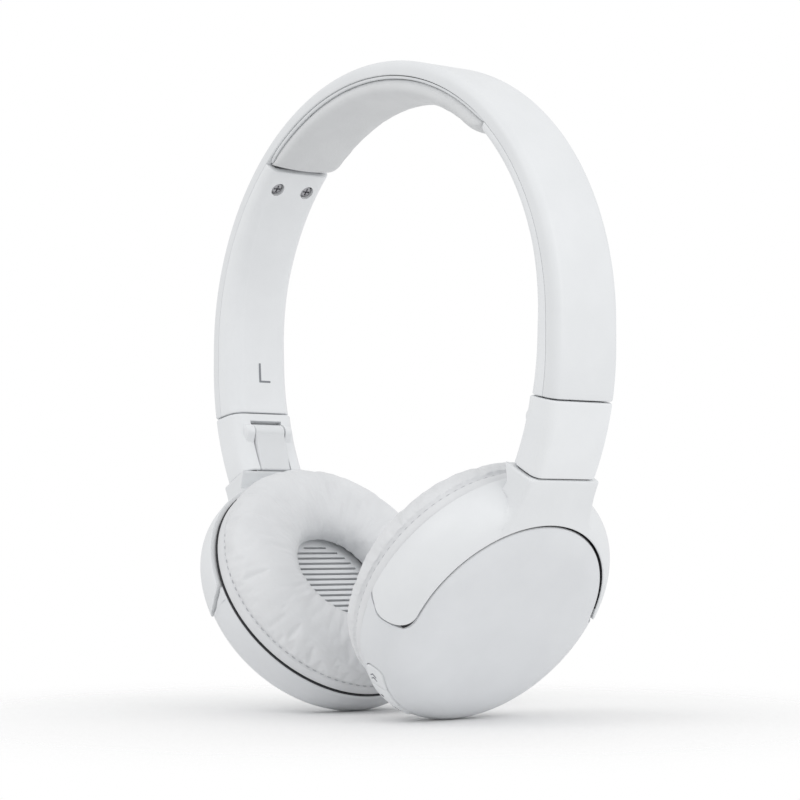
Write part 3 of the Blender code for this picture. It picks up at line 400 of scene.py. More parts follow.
def noise_texture(material, place, scale, detail=3.0):
    texture = add_node(material, "ShaderNodeTexNoise", Scale=scale, Detail=detail)
    link(material, (place, texture.inputs["Vector"]))
    return texture.outputs["Fac"]


def cell_texture(material, place, scale, feature="F1"):
    texture = add_node(material, "ShaderNodeTexVoronoi", Scale=scale)
    texture.feature = feature
    link(material, (place, texture.inputs["Vector"]))
    return texture.outputs["Distance"]


def vary_colour(material, factor, low, high):
    """Base colour that runs between two tones."""
    ramp = add_node(material, "ShaderNodeValToRGB")
    for element, position, tone in zip(ramp.color_ramp.elements, TONE_SPAN, (low, high)):
        element.position = position
        element.color = (*tone, 1.0)
    link(material, (factor, ramp.inputs["Fac"]),
         (ramp.outputs["Color"], shader_input(material, "Base Color")))


def vary_roughness(material, factor, roughness, span):
    """Roughness that varies by a span about its plain value."""
    ends = {"To Min": roughness + span[0], "To Max": roughness + span[1]}
    mapped = add_node(material, "ShaderNodeMapRange", **ends)
    link(material, (factor, mapped.inputs["Value"]),
         (mapped.outputs["Result"], shader_input(material, "Roughness")))


def add_bump(material, heights, distance):
    """Surface relief from one or more height outputs, one upon another."""
    normal = None
    for height in heights:
        bump = add_node(material, "ShaderNodeBump", Strength=1.0, Distance=distance)
        link(material, (height, bump.inputs["Height"]))
        if normal:
            link(material, (normal, bump.inputs["Normal"]))
        normal = bump.outputs["Normal"]
    link(material, (normal, shader_input(material, "Normal")))


def darker(colour, shift):
    return tuple(max(0.0, level - shift) for level in colour)


def plastic(name, colour, roughness, shift=PLASTIC_SHIFT):
    """Moulded plastic with a fine spark-eroded grain and faint unevenness."""
    material = new_material(name, colour, roughness)
    place = texture_place(material)
    broad = noise_texture(material, place, PLASTIC_CLOUDS)
    fine = noise_texture(material, place, PLASTIC_GRAIN, 2.0)
    vary_colour(material, broad, darker(colour, shift), colour)
    vary_roughness(material, broad, roughness, PLASTIC_SPAN)
    add_bump(material, [fine], PLASTIC_RELIEF)
    return material


def leather(name, colour, roughness):
    """Coated cover with a pebbled grain."""
    material = new_material(name, colour, roughness)
    shader_input(material, "Sheen Weight").default_value = LEATHER_SHEEN
    shader_input(material, "Sheen Roughness").default_value = 0.5
    place = texture_place(material)
    broad = noise_texture(material, place, LEATHER_CLOUDS)
    pebbles = cell_texture(material, place, LEATHER_PEBBLES, "SMOOTH_F1")
    fine = noise_texture(material, place, LEATHER_GRAIN)
    vary_colour(material, broad, darker(colour, LEATHER_SHIFT), colour)
    vary_roughness(material, fine, roughness, LEATHER_SPAN)
    add_bump(material, [pebbles, fine], LEATHER_RELIEF)
    return material


def metal(name, colour, roughness, stretch):
    """Drawn or turned metal, with marks that run one way."""
    material = new_material(name, colour, roughness, 1.0)
    marks = noise_texture(material, texture_place(material, stretch), METAL_MARKS, 4.0)
    vary_colour(material, marks, tuple(METAL_SHADE * level for level in colour), colour)
    vary_roughness(material, marks, roughness, METAL_SPAN)
    add_bump(material, [marks], METAL_RELIEF)
    return material


def woven(name, dark, light, pitch):
    """Fine speaker cloth."""
    material = new_material(name, light, CLOTH_ROUGHNESS)
    cells = cell_texture(material, texture_place(material), 1.0 / pitch)
    vary_colour(material, cells, light, dark)
    add_bump(material, [cells], CLOTH_RELIEF)
    return material


MATERIALS = {
    "strip": plastic("band_plastic", (0.76, 0.775, 0.79), 0.42),
    "arm": plastic("arm_plastic", (0.80, 0.815, 0.83), 0.45),
    "fork": plastic("fork_plastic", (0.765, 0.78, 0.795), 0.42),
    "shell": plastic("cup_plastic", (0.72, 0.735, 0.755), 0.40),
    "tongue": plastic("tongue_plastic", (0.75, 0.765, 0.78), 0.45),
    "rim": plastic("rim_plastic", (0.74, 0.755, 0.77), 0.45),
    "button": plastic("button_plastic", (0.77, 0.785, 0.80), 0.48),
    "icon": plastic("icon_print", (0.20, 0.21, 0.23), 0.6),
    "mark": plastic("mark_print", (0.24, 0.25, 0.27), 0.6),
    "pad": leather("pad_leather", (0.73, 0.74, 0.755), 0.50),
    "cushion": leather("cushion_leather", (0.68, 0.69, 0.70), 0.55),
    "thread": plastic("pad_thread", (0.50, 0.51, 0.53), 0.8),
    "inner": plastic("inner_plastic", (0.55, 0.56, 0.58), 0.55),
    "grille": plastic("grille_plastic", (0.80, 0.815, 0.83), 0.55),
    "cloth": woven("speaker_cloth", (0.03, 0.03, 0.035), (0.12, 0.125, 0.13), 0.0006),
    # Near-black plastic for the thin sheets of painted shade laid in gaps and seams
    "gap_shade": plastic("painted_gap_shade", (0.06, 0.06, 0.065), 0.7, shift=0.01),
    "dark": plastic("dark_plastic", (0.035, 0.035, 0.04), 0.5, shift=0.01),
    "steel": metal("steel", (0.60, 0.60, 0.62), 0.32, (1.0, 6.0, 1.0)),
    "screw": metal("screw_steel", (0.45, 0.45, 0.47), 0.35, (1.0, 1.0, 4.0)),
    "board": plastic("board_mask", (0.04, 0.22, 0.11), 0.4),
    "foil": metal("battery_foil", (0.62, 0.63, 0.65), 0.4, (3.0, 1.0, 1.0)),
}


# ---- Shapes: a solid is a list of points and a list of faces ----


def solid_mesh(name, solid):
    """Mesh of a solid with its faces turned outward."""
    points, faces = solid
    mesh = bpy.data.meshes.new(name)
    mesh.from_pydata([tuple(point) for point in points], [], faces)
    work = bmesh.new()
    work.from_mesh(mesh)
    bmesh.ops.recalc_face_normals(work, faces=work.faces)
    work.to_mesh(mesh)
    work.free()
    return mesh


def moved(solid, matrix):
    points, faces = solid
    return [matrix @ Vector(point) for point in points], faces


def mirrored(solid):
    points, faces = solid
    return [(-x, y, z) for x, y, z in points], faces


def joined(solids):
    """Several solids as one list of points and faces."""
    points, faces = [], []
    for more_points, more_faces in solids:
        start = len(points)
        points.extend(more_points)
        faces.extend(tuple(start + number for number in face) for face in more_faces)
    return points, faces


def new_object(name, data):
    """Object of some data, linked into the scene."""
    item = bpy.data.objects.new(name, data)
    bpy.context.scene.collection.objects.link(item)
    return item


def combine(base, tool, operation):
    """Result of a Boolean between two solids."""
    pair = [new_object(label, solid_mesh(label, solid)) for label, solid in (("base", base), ("tool", tool))]
    modifier = pair[0].modifiers.new("boolean", "BOOLEAN")
    modifier.operation = operation
    modifier.solver = "EXACT"
    modifier.object = pair[1]
    graph = bpy.context.evaluated_depsgraph_get()
    result = pair[0].evaluated_get(graph).to_mesh()
    points = [vertex.co.copy() for vertex in result.vertices]
    faces = [tuple(polygon.vertices) for polygon in result.polygons]
    for item in pair:
        bpy.data.objects.remove(item, do_unlink=True)
    return points, faces


def ring_solid(rings, closed=False):
    """Skin over rings of points, capped at both ends or closed into a loop."""
    count = len(rings[0])
    points = [point for ring in rings for point in ring]
    faces = []
    if not closed:
        faces = [tuple(range(count)), tuple(range(len(points) - count, len(points)))]
    for row in range(len(rings) - (0 if closed else 1)):
        low, high = row * count, (row + 1) % len(rings) * count
        for column in range(count):
            after = (column + 1) % count
            faces.append((low + column, low + after, high + after, high + column))
    return points, faces


def slab_solid(fronts, backs):
    """Skin over matching rows of front and back points, with its ends closed by strips."""
    count = len(fronts[0])
    points, faces = ring_solid([front + back[::-1] for front, back in zip(fronts, backs)])
    faces = faces[2:]
    for start in (0, len(points) - 2 * count):
        for column in range(count - 1):
            low, high = start + column, start + 2 * count - 1 - column
            faces.append((low, low + 1, high - 1, high))
    return points, faces


def spread(start, end, steps):
    return [start + (end - start) * step / steps for step in range(steps + 1)]


def arc(centre, radius, start, end, steps):
    angles = spread(start, end, steps)
    return [(centre[0] + radius * cos(angle), centre[1] + radius * sin(angle)) for angle in angles]


def rod(radius, start, end):
    """Round rod along X."""
    return ring_solid([disc(x, radius, 32) for x in (start, end)])


def plank(outline, half_width):
    """Outline of (x, z) points given a width along Y."""
    return ring_solid([[(x, y, z) for x, z in outline] for y in (-half_width, half_width)])


def around(steps):
    """Angles of a full turn."""
    return spread(0.0, 2 * pi, steps)[:-1]


def disc(x, radius, steps):
    """Round ring of points about X."""
    return [(x, radius * sin(turn), radius * cos(turn)) for turn in around(steps)]


def printed(flats, place_at, lifts):
    """Flat strokes made solid, where place_at gives the point of a place on the flat at a lift."""
    return joined([ring_solid([[place_at(*corner, lift) for corner in flat] for lift in lifts])
                   for flat in flats])


def piece(name, solid, finish, body, crease=CREASE):
    """Object of a solid, riding on a body."""
    mesh = solid_mesh(name, solid)
    mesh.shade_smooth()
    mesh.set_sharp_from_angle(angle=radians(crease))
    mesh.materials.append(MATERIALS[finish])
    item = new_object(name, mesh)
    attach(item, body)
    return item


def side_piece(name, solid, finish, body, side, crease=CREASE):
    """Piece of one side, from a solid shaped for the right side."""
    if side == "left":
        solid = mirrored(solid)
    carrier = body if body == "headband" else f"{body}_{side}"
    return piece(f"{name}_{side}", solid, finish, carrier, crease)


def cup_piece(name, solid, finish, body, side, crease=CREASE):
    """Piece of one side, from a solid shaped about the cup's pivot."""
    return side_piece(name, moved(solid, CUP_FRAME), finish, body, side, crease)


def round_edges(item, width):
    """Rounded edges where faces meet at more than an angle."""
    bevel = item.modifiers.new("edges", "BEVEL")
    bevel.width = width
    bevel.segments = BEVEL_SEGMENTS
    bevel.limit_method = "ANGLE"
    bevel.angle_limit = BEVEL_ANGLE
    bevel.harden_normals = True


# ---- Headband ----


def band_place(length):
    """Point on the band's outer face and the inward direction there, at a length from the top."""
    side = -1.0 if length < 0 else 1.0
    run = abs(length)
    if run <= QUARTER:
        angle = run / BAND_RADIUS
        place = (BAND_RADIUS * sin(angle), BAND_Z + BAND_RADIUS * cos(angle))
        inward = (-sin(angle), -cos(angle))
    elif run <= LOWER_START:
        place = (BAND_RADIUS, BAND_Z - (run - QUARTER))
        inward = (-1.0, 0.0)
    else:
        angle = (run - LOWER_START) / BAND_RADIUS
        place = (BAND_RADIUS * cos(angle), LOWER_Z - BAND_RADIUS * sin(angle))
        inward = (-cos(angle), sin(angle))
    return Vector((side * place[0], 0.0, place[1])), Vector((side * inward[0], 0.0, inward[1]))


def band_ring(length, section):
    """Ring of a section of (y, depth) points set across the band."""
    place, inward = band_place(length)
    return [place + inward * depth + Vector((0.0, y, 0.0)) for y, depth in section]


def rounded_stations(start, end, steps):
    """Lengths along the band, each with how far its section is drawn in to round the ends."""
    turns = [share * pi / 2 for share in (0.0, 0.25, 0.5, 0.75)]
    ease = [(EDGE * (1 - cos(turn)), EDGE * (1 - sin(turn))) for turn in turns]
    stations = [(start + run, inset) for run, inset in ease]
    stations += [(length, 0.0) for length in spread(start + EDGE, end - EDGE, steps)]
    return stations + [(end - run, inset) for run, inset in ease[::-1]]


def arm_depth(length):
    share = (abs(length) - COVER_START) / (ARM_END - COVER_START)
    return COVER_TOP_DEPTH + (ARM_DEPTH - COVER_TOP_DEPTH) * share


def outer_corners(half, inset, steps=8):
    """Rounded outer edges of the band, from one side to the other."""
    radius = BAND_CORNER
    left = arc((-half + radius, inset + radius), radius, pi, 1.5 * pi, steps)
    right = arc((half - radius, inset + radius), radius, 1.5 * pi, 2 * pi, steps)
    return left + right


def inner_corners(half, depth, radius, steps=10):
    left = arc((-half + radius, depth - radius), radius, pi, pi / 2, steps)
    right = arc((half - radius, depth - radius), radius, pi / 2, 0.0, steps)
    return left + right


def strip_section(length, inset):
    """Channel of the outer strip, with a lip that is softer where it frames the cushion."""
    half = BAND_WIDTH / 2 - inset
    trough = BAND_WIDTH / 2 - STRIP_WALL
    past = (abs(length) - CUSHION_REACH) / LIP_FADE
    lip = STRIP_LIP if past <= 0 else max(LEAST_LIP, STRIP_LIP * (1 - past))
    section = arc((-half + lip, STRIP_DEPTH - lip), lip, pi / 2, pi, 3) + outer_corners(half, inset)
    section += arc((half - lip, STRIP_DEPTH - lip), lip, 0.0, pi / 2, 3)
    section += [(trough, STRIP_DEPTH), (trough, STRIP_SKIN)]
    return section + [(-trough, STRIP_SKIN), (-trough, STRIP_DEPTH)]


def cover_section(length, inset):
    """Inner half of an arm, open towards the strip."""
    half = BAND_WIDTH / 2 - inset
    wall = BAND_WIDTH / 2 - STRIP_WALL
    edge = STRIP_DEPTH + HAIRLINE
    depth = arm_depth(length) - inset
    radius = min(COVER_CORNER, depth - edge - HAIRLINE)
    section = [(-half, edge)] + inner_corners(half, depth, radius) + [(half, edge)]
    floor = arm_depth(length) - COVER_SKIN
    slope = COVER_SLOPE * (floor - edge)
    return section + [(wall, edge), (wall, floor - slope), (wall - slope, floor),
                      (slope - wall, floor), (-wall, floor - slope), (-wall, edge)]


def housing_section(_, inset):
    half = BAND_WIDTH / 2 - inset
    return outer_corners(half, inset) + inner_corners(half, ARM_DEPTH - inset, HOUSING_CORNER)[::-1]


def band_solid(stations, section_at):
    return ring_solid([band_ring(length, section_at(length, inset)) for length, inset in stations])


def screw_frames():
    """Matrices that stand X along the depth of the band at each arm screw of the right side."""
    place, inward = band_place(ARM_SCREW_RUN)
    across = Vector((0.0, 1.0, 0.0))
    rotation = Matrix((inward, across, inward.cross(across))).transposed().to_4x4()
    half = ARM_SCREW_SPACING / 2
    return [Matrix.Translation(place + across * y) @ rotation for y in (half, -half)]


def outer_strip():
    return band_solid(rounded_stations(-ARM_END, ARM_END, STRIP_STEPS), strip_section)


def arm_cover():
    """Inner half of the arm with its two screw seats."""
    cover = band_solid(rounded_stations(COVER_START, ARM_END, COVER_STEPS), cover_section)
    depth = arm_depth(ARM_SCREW_RUN)
    seat = rod(SCREW_SEAT_RADIUS, depth - COVER_SKIN - EDGE, depth + COVER_SKIN)
    return combine(cover, joined([moved(seat, place) for place in screw_frames()]), "DIFFERENCE")


def screw_head():
    """Screw head with a cross recess, along X towards its outer face."""
    head = ring_solid([disc(x, radius, 40) for x, radius in SCREW_RINGS])
    for wide, tall in (SCREW_CROSS, SCREW_CROSS[::-1]):
        corners = [(-wide, -tall), (wide, -tall), (wide, tall), (-wide, tall)]
        slot = ring_solid([[(x, y, z) for y, z in corners] for x in SCREW_CROSS_SPAN])
        head = combine(head, slot, "DIFFERENCE")
    return head


def tongue_slot():
    """Slot of the housing that the tongue folds out of, in the fold frame."""
    back = TONGUE_INNER + TONGUE_DEPTH + HINGE_GAP
    roof = KNUCKLE_RADIUS + 3 * HINGE_GAP
    out, floor = -2 * ARM_DEPTH, -2 * FOLD_ABOVE_SEAM
    outline = [(out, floor), (back, floor), (back, -TONGUE_SHOULDER + HINGE_GAP), (roof, 2 * HINGE_GAP),
               (roof, roof), (out, roof)]
    return plank(outline, TONGUE_WIDTH / 2 + HINGE_GAP)


def pin_ears():
    """Swelling of the housing round the fold pin, with rounded ends."""
    half = EAR_WIDTH / 2
    face = TONGUE_INNER + EAR_DEPTH
    ends = [(half, EAR_ROUNDING), (half - EAR_EASE, EAR_EASE), (half - EAR_ROUNDING, 0.0)]
    rings = []
    for y, shrink in [(-y, shrink) for y, shrink in ends] + ends[::-1]:
        radius, high = KNUCKLE_RADIUS - shrink, EAR_HEIGHT - shrink
        outline = [(face, -high)] + arc((0.0, 0.0), radius, radians(230), radians(130), 16)
        outline += [(face, high), (face + EAR_ROOT, high), (face + EAR_ROOT, -high)]
        rings.append([(x, y, z) for x, z in outline])
    return ring_solid(rings)


def hinge_housing():
    """End of the arm that slides down, with the pin's ears and the slot between them."""
    housing = band_solid(rounded_stations(ARM_END + SEAM_GAP, BAND_END, HOUSING_STEPS), housing_section)
    housing = combine(housing, moved(pin_ears(), FOLD_FRAME), "UNION")
    return combine(housing, moved(tongue_slot(), FOLD_FRAME), "DIFFERENCE")


def housing_seam_shade():
    """Dark ring of painted shade under the housing's end, set back in the seam and open where the tongue
    folds out.
    """
    paths = []
    for inset in (HOUSING_SHADE_SETBACK, 2 * HOUSING_SHADE_SETBACK):
        half = BAND_WIDTH / 2 - inset
        corners = inner_corners(half, ARM_DEPTH - inset, HOUSING_CORNER)
        middle = len(corners) // 2
        paths.append(corners[:middle][::-1] + outer_corners(half, inset) + corners[middle:][::-1])
    high, low = BAND_END - HAIRLINE, BAND_END + SEAM_GAP - HAIRLINE
    outer, inner = paths
    edges = [band_ring(high, outer), band_ring(low, outer), band_ring(low, inner), band_ring(high, inner)]
    return ring_solid([list(ring) for ring in zip(*edges)])


def tongue():
    """Tongue between the fold pin and the yoke."""
    back = TONGUE_INNER + TONGUE_DEPTH
    knuckle = arc((0.0, 0.0), KNUCKLE_RADIUS, radians(45), radians(225), 24)
    outline = [(TONGUE_INNER, -FOLD_ABOVE_SEAM), (back, -FOLD_ABOVE_SEAM), (back, -TONGUE_SHOULDER)] + knuckle
    return moved(plank(outline, TONGUE_WIDTH / 2), FOLD_FRAME)


def make_headband():
    strip = piece("band_strip", outer_strip(), "strip", "headband")
    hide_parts("headband_outer_strip")
    sunk = Matrix.Translation((arm_depth(ARM_SCREW_RUN) - SCREW_SINK - SCREW_HEIGHT, 0.0, 0.0))
    for side in SIDES:
        cover = side_piece("arm_inner", arm_cover(), "arm", "headband", side)
        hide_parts(f"arm_cover_{side}")
        for label, place in zip(("front", "back"), screw_frames()):
            head = moved(screw_head(), place @ sunk)
            screw = side_piece(f"screw_{label}", head, "screw", "headband", side)
            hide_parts(f"arm_screw_{label}_{side}")
        housing = side_piece("housing", hinge_housing(), "arm", "slider", side)
        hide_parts(f"hinge_housing_{side}")
        arm = side_piece("tongue", tongue(), "tongue", "tongue", side)
        round_edges(arm, EDGE)
        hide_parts(f"fold_arm_{side}")
        # Dark ring of painted shade in the seam between the housing and the stem
        side_piece("housing_seam_shade", housing_seam_shade(), "gap_shade", "slider", side)


def cushion_taper(length):
    """Share of the full section near the cushion's rounded ends."""
    past = max(0.0, abs(length) - (CUSHION_REACH - CUSHION_END)) / CUSHION_END
    return max(CUSHION_LEAST, sqrt(max(0.0, 1.0 - past ** 2)))


def cushion_half(length, margin):
    """Half the width of the cushion or its rim, which narrow towards their ends."""
    narrowed = (1.0 - CUSHION_NARROWING) + CUSHION_NARROWING * cushion_taper(length)
    return (BAND_WIDTH / 2 - margin) * narrowed


def cushion_section(length):
    """Crowned pad, drawn in under its edges, with soft creases across it."""
    half = cushion_half(length, CUSHION_MARGIN)
    top = STRIP_DEPTH + RIM_THICKNESS + HAIRLINE
    depth = (CUSHION_DEPTH - RIM_THICKNESS) * cushion_taper(length)
    waist, crown = top + CUSHION_WAIST * depth, (1.0 - CUSHION_WAIST) * depth
    section = [(-CUSHION_FOOT * half, top)]
    for angle in spread(pi, 0.0, 40):
        y = half * cos(angle)
        rise = sin(angle) ** CUSHION_FULLNESS
        near_edge = abs(cos(angle)) ** 3
        seed = CREASE_SEEDS[0] if y > 0 else CREASE_SEEDS[1]
        crease = noise.noise(Vector((length * CREASES, 0.0, seed))) * near_edge
        swell = noise.noise(Vector((length * SWELLS[0], y * SWELLS[1], SWELL_SEED)))
        depth_here = waist + crown * rise + CREASE_DEPTH * crease + SWELL_DEPTH * swell
        section.append((y * (1.0 + CREASE_PULL * crease), depth_here))
    return section + [(CUSHION_FOOT * half, top)]


def rim_section(length):
    """Thin frame that shows between the strip and the cushion."""
    half = cushion_half(length, RIM_MARGIN)
    top, low = STRIP_DEPTH + 2 * HAIRLINE, STRIP_DEPTH + RIM_THICKNESS
    section = [(-half, top), (half, top), (half, low - RIM_EDGE)]
    return section + [(half - RIM_EDGE, low), (RIM_EDGE - half, low), (-half, low - RIM_EDGE)]


def make_cushion():
    lengths = [CUSHION_REACH * sin(turn) for turn in spread(-pi / 2, pi / 2, CUSHION_STEPS)]
    pad_solid, rim_solid = (ring_solid([band_ring(length, section(length)) for length in lengths])
                            for section in (cushion_section, rim_section))
    pad = piece("head_cushion", pad_solid, "cushion", "headband", CUSHION_CREASE)
    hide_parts("headband_cushion")
    piece("cushion_rim", rim_solid, "rim", "headband")


# ---- Side marks ----


def letter_strokes(letter):
    """Convex strokes of a plain letter, one unit high."""
    wide = MARK_STROKE / MARK_HEIGHT
    strokes = [[(0.0, 0.0), (wide, 0.0), (wide, 1.0), (0.0, 1.0)]]
    if letter == "L":
        return strokes + [[(wide, 0.0), (LETTER_FOOT, 0.0), (LETTER_FOOT, wide), (wide, wide)]]
    bowl_foot = 1.0 - 2 * BOWL_RADIUS
    edges = []
    for inset in (0.0, wide):
        bowl = arc((BOWL_START, 1.0 - BOWL_RADIUS), BOWL_RADIUS - inset, pi / 2, -pi / 2, 12)
        edges.append([(wide, 1.0 - inset)] + bowl + [(wide, bowl_foot + inset)])
    outer, inner = edges
    for first in range(len(outer) - 1):
        strokes.append([outer[first], outer[first + 1], inner[first + 1], inner[first]])
    leg = LEG_STROKE * wide
    strokes.append([(LEG_TOP, bowl_foot), (LEG_TOP + leg, bowl_foot), (LEG_FOOT, 0.0), (LEG_FOOT - leg, 0.0)])
    return strokes


def mark_point(across, up, lift):
    """Point of a letter on the inner face of the right arm."""
    length = ARM_END - MARK_ABOVE_SEAM - up * MARK_HEIGHT
    place, inward = band_place(length)
    point = place + inward * (arm_depth(length) + lift)
    point.y = across * MARK_HEIGHT + MARK_FORWARD
    return point


def make_marks():
    """Letter of each side, printed on the inner face of its arm."""
    for side, letter, reading in (("right", "R", -1.0), ("left", "L", 1.0)):
        flats = [[(reading * (across - LETTER_MIDDLE), up) for across, up in stroke]
                 for stroke in letter_strokes(letter)]
        solid = printed(flats, mark_point, MARK_LIFTS)
        side_piece("side_mark", solid, "mark", "headband", side)


# ---- Cup and yoke ----


def dome(turn, inset):
    """Radius and height on the cup's side and rounded shoulder, set in from its outer face.

    The turn runs from 0 at the rim to a quarter turn at the flat face, and below 0 down the upright side.
    """
    if turn < 0:
        return CUP_RIM_RADIUS - inset, SHOULDER + CUP_RIM_RADIUS * turn
    reach, rise = CUP_RIM_RADIUS - CUP_FLAT_RADIUS, FACE - SHOULDER
    level = max(0.0, cos(turn)) ** (2 / CUP_ROUNDNESS)
    height = max(0.0, sin(turn)) ** (2 / CUP_ROUNDNESS)
    slope = Vector((level ** (CUP_ROUNDNESS - 1) / reach, height ** (CUP_ROUNDNESS - 1) / rise))
    slope.normalize()
    return CUP_FLAT_RADIUS + reach * level - inset * slope.x, SHOULDER + rise * height - inset * slope.y


def dome_turn(inset, passed):
    """Turn at which a point of the cup's side, taken towards its face, first passes a test."""
    low, high = -pi / 4, pi / 2
    for _ in range(30):
        middle = (low + high) / 2
        if passed(*dome(middle, inset)):
            high = middle
        else:
            low = middle
    return high


def side_radius(height):
    return dome(dome_turn(0.0, lambda radius, level: level >= height), 0.0)[0]


def fork_reach(grow):
    return TIP_ANGLE + grow / CUP_RIM_RADIUS


def fork_span(angle, grow, inset):
    """First and last turn across the fork at an angle round the cup, drawn together at its tips."""
    radius = ARC_RADIUS - grow
    arc_edge = -ARC_DROP * cos(angle) + sqrt(radius ** 2 - (ARC_DROP * sin(angle)) ** 2)
    low_edge = SEAM + PLATE_EDGE - grow
    low = dome_turn(inset, lambda radius, height: height >= low_edge)
    high = dome_turn(inset, lambda radius, height: radius <= arc_edge)
    past = max(0.0, abs(angle) - (fork_reach(grow) - TIP_ROUNDING)) / TIP_ROUNDING
    taper = max(TIP_LEAST, max(0.0, 1.0 - past ** TIP_FULLNESS) ** (1 / TIP_FULLNESS))
    middle, half = (low + high) / 2, (high - low) / 2
    return middle - half * taper, middle + half * taper


def cup_point(radius, height, angle):
    return height, radius * sin(angle), radius * cos(angle)


def cup_ring(profile, angle):
    """Points of a profile of radii and heights, at an angle round the cup."""
    return [cup_point(radius, height, angle) for radius, height in profile]


def plate_profile(angle):
    """Fork plate at an angle round the cup, with rounded outer edges."""
    low, high = fork_span(angle, 0.0, -PLATE_PROUD)
    inner_low, inner_high = fork_span(angle, 0.0, PLATE_THICKNESS)
    room = (high - low) / 3
    low_ease = min(PLATE_ROUNDING / CUP_RIM_RADIUS, room)
    high_ease = min(PLATE_ROUNDING / (FACE - SHOULDER), room)
    quarter = [(1 - cos(turn), PLATE_ROUNDING * (1 - sin(turn)) - PLATE_PROUD)
               for turn in spread(0.0, pi / 2, 4)]
    profile = [dome(low + low_ease * run, inset) for run, inset in quarter]
    profile += [dome(turn, -PLATE_PROUD) for turn in spread(low + low_ease, high - high_ease, 16)[1:-1]]
    profile += [dome(high - high_ease * run, inset) for run, inset in quarter[::-1]]
    return profile + [dome(turn, PLATE_THICKNESS) for turn in spread(inner_high, inner_low, 6)]


def fork_angles(reach, steps):
    """Angles from tip to tip, closer together towards the tips."""
    return [reach * sin(turn) for turn in spread(-pi / 2, pi / 2, steps)]


def cup_solid(angles, profile_at, closed=False):
    """Solid of a profile that changes with the angle round the cup."""
    return ring_solid([cup_ring(profile_at(angle), angle) for angle in angles], closed)


def fork_plate():
    return cup_solid(fork_angles(fork_reach(0.0), FORK_STEPS), plate_profile)


def dome_height(away, inset):
    """Height of the set-in shoulder at a distance from the cup's axis, or none beyond its rim."""
    if away >= CUP_RIM_RADIUS - inset:
        return None
    return dome(dome_turn(inset, lambda radius, height: radius <= away), inset)[1]


def stem_top(out):
    """Height up the cup of the stem's top, which leans with the arm, at a distance out of the cup."""
    return STEM_LENGTH + (out + STEM_INSET) * tan(CUP_LEAN) - SEAM_GAP / cos(CUP_LEAN)


def stem_lean(up, out, run):
    """Height of a point of the stem with the lean of its top, which fades towards its base."""
    return up + (1 - run) * (out + STEM_INSET - STEM_DEPTH / 2) * tan(CUP_LEAN)


def stem_back(up):
    """Inner face of the stem above the cup, drawn in towards its heel."""
    top_out = -STEM_DEPTH / 2 - STEM_INSET
    top = stem_top(top_out)
    share = (top - up) / (top - CUP_RIM_RADIUS - STEM_HEEL_RISE)
    return top_out + (-STEM_HEEL - top_out) * min(1.0, max(0.0, share))


def stem_floor(y, up):
    """Inner face of the stem: plain above the cup, inside the fork plate over it."""
    inner = stem_back(up)
    height = dome_height(sqrt(y ** 2 + up ** 2), 0.5 * PLATE_THICKNESS)
    return inner if height is None else max(inner, height)


def stem_flank(edge, flank, y, up):
    """Distance out of the cup on the stem's hollow flank, from its edge down onto the fork plate."""
    foot = dome_height(sqrt(y ** 2 + up ** 2), -PLATE_PROUD)
    foot = stem_back(up) if foot is None else max(stem_back(up), foot - FLANK_SINK)
    return foot + (edge - foot) * (1 - flank) ** 2 if edge > foot else edge


def stem_columns():
    """Columns across the stem: share of its half width, turn past its edge and share of its flank."""
    columns = [(-1.0, 0.0, share) for share in spread(1.0, 0.0, FLANK_STEPS)]
    columns += [(-1.0, turn, 0.0) for turn in spread(STEM_EDGE_TURN, 0.0, 5)]
    columns += [(share, 0.0, 0.0) for share in spread(-0.9, 0.9, 18)]
    columns += [(1.0, turn, 0.0) for turn in spread(0.0, STEM_EDGE_TURN, 5)]
    return columns + [(1.0, 0.0, share) for share in spread(0.0, 1.0, FLANK_STEPS)]


